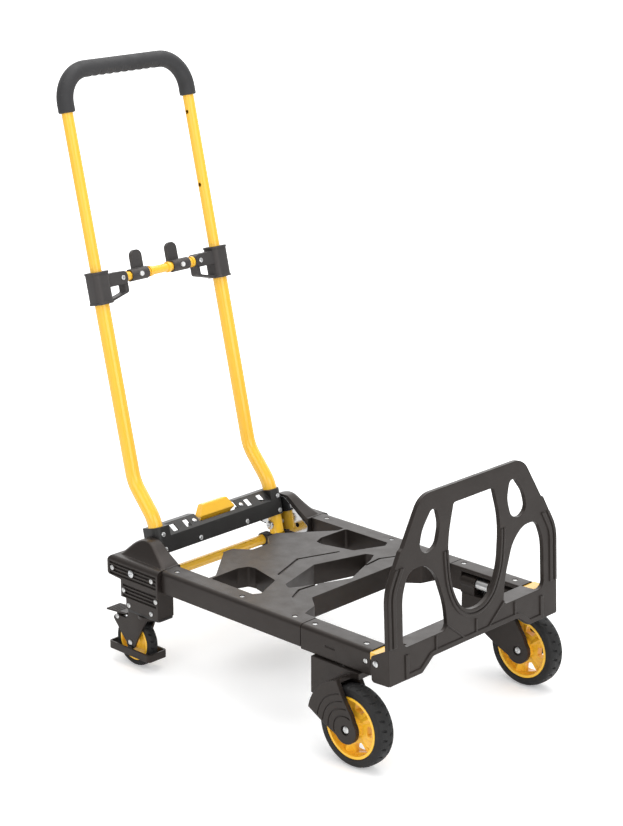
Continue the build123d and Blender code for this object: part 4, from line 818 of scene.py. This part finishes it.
@dataclass
class Fasteners:
    """Bright screws, rivets and bolts that show on deck, brackets, beam, collars, pedals, wheels and hinges."""

    truck: Truck
    handle: HandleFrame = HandleFrame()
    deck_x: tuple[float, ...] = (-0.09582, 0.07518, 0.20728, 0.25578, 0.37728)
    deck_y: float = 0.200
    deck_z: float = 0.2096
    rear_xz: tuple[Pair, ...] = ((-0.24482, 0.1884), (-0.13582, 0.1896), (-0.21382, 0.1516),
                                 (-0.12482, 0.1516), (-0.19982, 0.1244), (-0.13782, 0.1244))
    rear_y: float = 0.229
    front_xz: Pair = (0.39318, 0.190)
    front_y: float = 0.220
    beam_front: float = 0.019
    rivet_yu: tuple[Pair, ...] = ((0.152, 0.027), (0.152, 0.056), (0.062, 0.027))
    slope: Triple = (0.0085, 0.062, 0.0605)
    collar: Triple = (-0.33944, 0.100, 0.7098)
    axle_xz: Pair = (0.38458, 0.073)
    caster_xz: Pair = (-0.19982, 0.049)
    hinge_xz: Pair = (0.42218, 0.195)
    pivot_xz: Pair = (-0.19082, 0.190)
    pedal_xz: Pair = (-0.23582, 0.092)
    pedal_y: Pair = (0.1925, 0.2275)
    pedal_rise: float = 0.0018

    def bolts(self) -> list[Bolt]:
        """Bolts of the wheels, of the toe plate's hinge and of the handle's pivot.

        Returns:
            One set a node.
        """
        both = tuple(SIDES.values())
        found = [
            Bolt("toe_hinge_bolts", both, self.hinge_xz, ends=(0.1862, 0.2296), shank=0.004, radii=(0.004, 0.0058),
                 rises=(0.0, 0.003)),
            Bolt("handle_pivot_bolts", both, self.pivot_xz, ends=(0.1316, 0.2324), shank=0.005, radii=(0.009, 0.007),
                 rises=(0.006, 0.003)),
        ]
        for side, way in SIDES.items():
            found += [
                Bolt(f"front_axle_{side}", (way,), self.axle_xz, ends=(0.2016, 0.2616), shank=0.005,
                     radii=(0.0065, 0.0065), rises=(0.004, 0.004)),
                Bolt(f"caster_axle_{side}", (way,), self.caster_xz, ends=(0.1895, 0.2305), shank=0.004,
                     radii=(0.0052, 0.0052), rises=(0.003, 0.003)),
            ]
        return found

    def pins(self) -> list[Heads]:
        """Heads at both ends of each brake pedal's pin.

        Returns:
            One set a pedal.
        """
        found = []
        for side, way in SIDES.items():
            places = np.array([(self.pedal_xz[0], way * y, self.pedal_xz[1]) for y in self.pedal_y])
            axes = np.array([(0.0, -way, 0.0), (0.0, way, 0.0)])
            found.append(Heads(f"brake_pedal_{side}", places, axes, rise=self.pedal_rise))
        return found

    def sets(self) -> list[Heads]:
        """Heads of each node of fasteners.

        Returns:
            One set a node.
        """
        deck = np.array([(x, s * self.deck_y, self.deck_z) for x in self.deck_x for s in SIDES.values()])
        rear = [(x, s * self.rear_y, z) for x, z in self.rear_xz for s in SIDES.values()]
        front = [(self.front_xz[0], s * self.front_y, self.front_xz[1]) for s in SIDES.values()]
        bracket = np.array(rear + front)
        front_rivets = [(self.beam_front, s * y, u) for y, u in self.rivet_yu for s in SIDES.values()]
        slope_rivets = [(self.slope[0], s * self.slope[1], self.slope[2]) for s in SIDES.values()]
        rivets = self.handle.place(*np.array(front_rivets + slope_rivets).T)
        collars = np.array([(self.collar[0], s * self.collar[1], self.collar[2]) for s in SIDES.values()])
        forward, upward = self.handle.direction(1.0, 0.0), self.handle.direction(1.0, 1.0)
        rivet_axes = np.array([forward] * len(front_rivets) + [upward] * len(slope_rivets))
        return [
            Heads("deck_screws", deck, np.tile([0.0, 0.0, 1.0], (len(deck), 1))),
            Heads("bracket_screws", bracket, np.sign(bracket) * np.array([0.0, 1.0, 0.0])),
            Heads("beam_rivets", rivets, rivet_axes, crossed=False),
            Heads("collar_screws", collars, np.tile(forward, (len(collars), 1))),
        ]

    def build(self) -> set[str]:
        """Put each set of heads and bolts in place of its node, and heads on the pedals' pins.

        Returns:
            Nodes that need no other piece.
        """
        heads, bolts = self.sets(), self.bolts()
        for one in heads:
            self.truck.add(f"{one.node}_heads", one.mesh(), one.node)
        for one in bolts:
            self.truck.add(f"{one.node}_bolt", one.mesh(), one.node)
        for one in self.pins():
            self.truck.add(f"{one.node}_pin", one.mesh(), one.node, "zinc_steel")
        return {one.node for one in heads + bolts}


@dataclass(frozen=True)
class Lamp:
    """Square soft lamp: where it hangs, the length of its side and its watts."""

    name: str
    place: Triple
    size: float
    power: float

    def build(self, aim: Triple) -> None:
        """Hang the lamp and turn it to a point.

        Args:
            aim: point that it shines at.
        """
        data = bpy.data.lights.new(self.name, "AREA")
        data.size, data.energy = self.size, self.power
        lamp = bpy.data.objects.new(self.name, data)
        lamp.location = self.place
        lamp.rotation_euler = (Vector(aim) - lamp.location).to_track_quat("-Z", "Y").to_euler()
        bpy.context.scene.collection.objects.link(lamp)


@dataclass(frozen=True)
class Studio:
    """White room: floor, soft lamps and a world that looks white to the camera.

    From near to far the floor's own glow goes from lift to white. What shines sees the world at the strengths in
    mirror, the second of them toward behind, and wall is where one goes over into the other.
    """

    floor_size: float = 40.0
    floor_sink: float = 0.0004
    floor_colour: float = 0.90
    floor_rough: float = 0.9
    near: float = 0.75
    far: float = 1.7
    lift: float = 0.26
    ambient: float = 0.77
    wall: Range = (0.15, 0.85)
    mirror: Range = (0.30, 1.80)
    behind: Triple = (-0.66, 0.69, 0.30)
    aim: Triple = (0.0, 0.0, 0.35)
    lamps: tuple[Lamp, ...] = (Lamp("lamp_above", (0.2, 0.3, 3.6), size=3.2, power=74.0),
                               Lamp("lamp_front", (3.1, -0.6, 1.3), size=2.4, power=32.0),
                               Lamp("lamp_side", (0.9, -3.2, 1.7), size=2.2, power=20.0))

    def floor(self) -> None:
        """Pale floor that keeps the shadow near the truck and is plain white to the camera further off."""
        half = self.floor_size / 2
        edge = np.array([-half, half])
        x, y = np.meshgrid(edge, edge, indexing="ij")
        mesh = grid_mesh("studio_floor", np.stack([x, y, np.full_like(x, -self.floor_sink)], -1), (False, False))
        plane = bpy.data.objects.new("studio_floor", mesh)
        bpy.context.scene.collection.objects.link(plane)
        tree = Tree("studio_white")
        nodes, links = tree.nodes, tree.links
        tree.bsdf.inputs["Base Color"].default_value = (self.floor_colour,) * 3 + (1.0,)
        tree.bsdf.inputs["Roughness"].default_value = self.floor_rough
        tree.bsdf.inputs["Specular IOR Level"].default_value = 0.0
        tree.bsdf.inputs["Emission Color"].default_value = (1.0, 1.0, 1.0, 1.0)
        reach = nodes.new("ShaderNodeVectorMath")
        reach.operation = "LENGTH"
        links.new(tree.place, reach.inputs[0])
        glow = nodes.new("ShaderNodeMath")
        glow.operation = "MULTIPLY"
        links.new(tree.spread(reach.outputs["Value"], self.near, self.far, self.lift, 1.0), glow.inputs[0])
        links.new(nodes.new("ShaderNodeLightPath").outputs["Is Camera Ray"], glow.inputs[1])
        links.new(glow.outputs["Value"], tree.bsdf.inputs["Emission Strength"])
        mesh.materials.append(tree.material)

    def world(self) -> None:
        """World that is white to the camera, bright behind the truck in what shines, and an even light for the rest."""
        world = bpy.data.worlds.new("studio_world")
        bpy.context.scene.world = world
        world.use_nodes = True
        nodes, links = world.node_tree.nodes, world.node_tree.links
        nodes.clear()
        out, sky = nodes.new("ShaderNodeOutputWorld"), nodes.new("ShaderNodeBackground")
        sky.inputs["Color"].default_value = (1.0, 1.0, 1.0, 1.0)
        path, toward = nodes.new("ShaderNodeLightPath"), nodes.new("ShaderNodeVectorMath")
        toward.operation = "DOT_PRODUCT"
        toward.inputs[1].default_value = self.behind
        links.new(nodes.new("ShaderNodeTexCoord").outputs["Generated"], toward.inputs[0])
        wall, shine, seen = (nodes.new("ShaderNodeMapRange") for _ in range(3))
        for key, limits in (("From", self.wall), ("To", self.mirror)):
            wall.inputs[f"{key} Min"].default_value, wall.inputs[f"{key} Max"].default_value = limits
        links.new(toward.outputs["Value"], wall.inputs["Value"])
        shine.inputs["To Min"].default_value = self.ambient
        links.new(path.outputs["Is Glossy Ray"], shine.inputs["Value"])
        links.new(wall.outputs["Result"], shine.inputs["To Max"])
        links.new(path.outputs["Is Camera Ray"], seen.inputs["Value"])
        links.new(shine.outputs["Result"], seen.inputs["To Min"])
        links.new(seen.outputs["Result"], sky.inputs["Strength"])
        links.new(sky.outputs["Background"], out.inputs["Surface"])

    def build(self) -> None:
        """Floor, world and three lamps: one above, one before and one to the side."""
        self.floor()
        self.world()
        for lamp in self.lamps:
            lamp.build(self.aim)


@dataclass(frozen=True)
class Eye:
    """Camera of the picture: place, turn about the upright, drop of the line of sight, roll and lens."""

    place: Triple = (2.60308, -2.6441, 1.6428)
    azimuth: float = math.radians(43.94)
    drop: float = math.radians(17.21)
    roll: float = math.radians(-0.05)
    sensor: float = 36.0
    focal_pixels: float = 2116.0
    height_pixels: float = 826.0

    def build(self) -> None:
        """Put the camera in the scene, with the sensor along the picture's height, its longer side."""
        data = bpy.data.cameras.new("camera")
        data.sensor_width, data.lens = self.sensor, self.sensor * self.focal_pixels / self.height_pixels
        camera = bpy.data.objects.new("camera", data)
        camera.location = self.place
        level = math.cos(self.drop)
        sight = Vector((-math.sin(self.azimuth) * level, math.cos(self.azimuth) * level, -math.sin(self.drop)))
        turn = sight.to_track_quat("-Z", "Y").to_matrix() @ Euler((0.0, 0.0, self.roll)).to_matrix()
        camera.rotation_euler = turn.to_euler()
        bpy.context.scene.collection.objects.link(camera)
        bpy.context.scene.camera = camera


def main() -> None:
    """Load the solids, dress them, light the room and set the camera."""
    logging.basicConfig(level=logging.INFO, format="%(name)s: %(message)s")
    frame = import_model()
    truck = Truck(frame, Wardrobe())
    tyres = [Tyre(f"{family}_{side}", lugs, bore) for family, (lugs, bore) in TYRES.items() for side in SIDES]
    for tyre in tyres:
        truck.add(f"{tyre.node}_tread", tyre.mesh(), tyre.node)
    truck.add("handle_grip_rubber", Grip().mesh(), "handle_grip")
    made = {tyre.node for tyre in tyres} | {"handle_grip"} | Fasteners(truck).build()
    solids = Solids(truck)
    for node in sorted(set(frame["nodes"]) - made):
        solids.dress(node)
    Studio().build()
    Eye().build()
    bpy.context.scene.view_settings.view_transform = "Standard"
    bpy.context.view_layer.update()


if __name__ == "__main__":
    main()
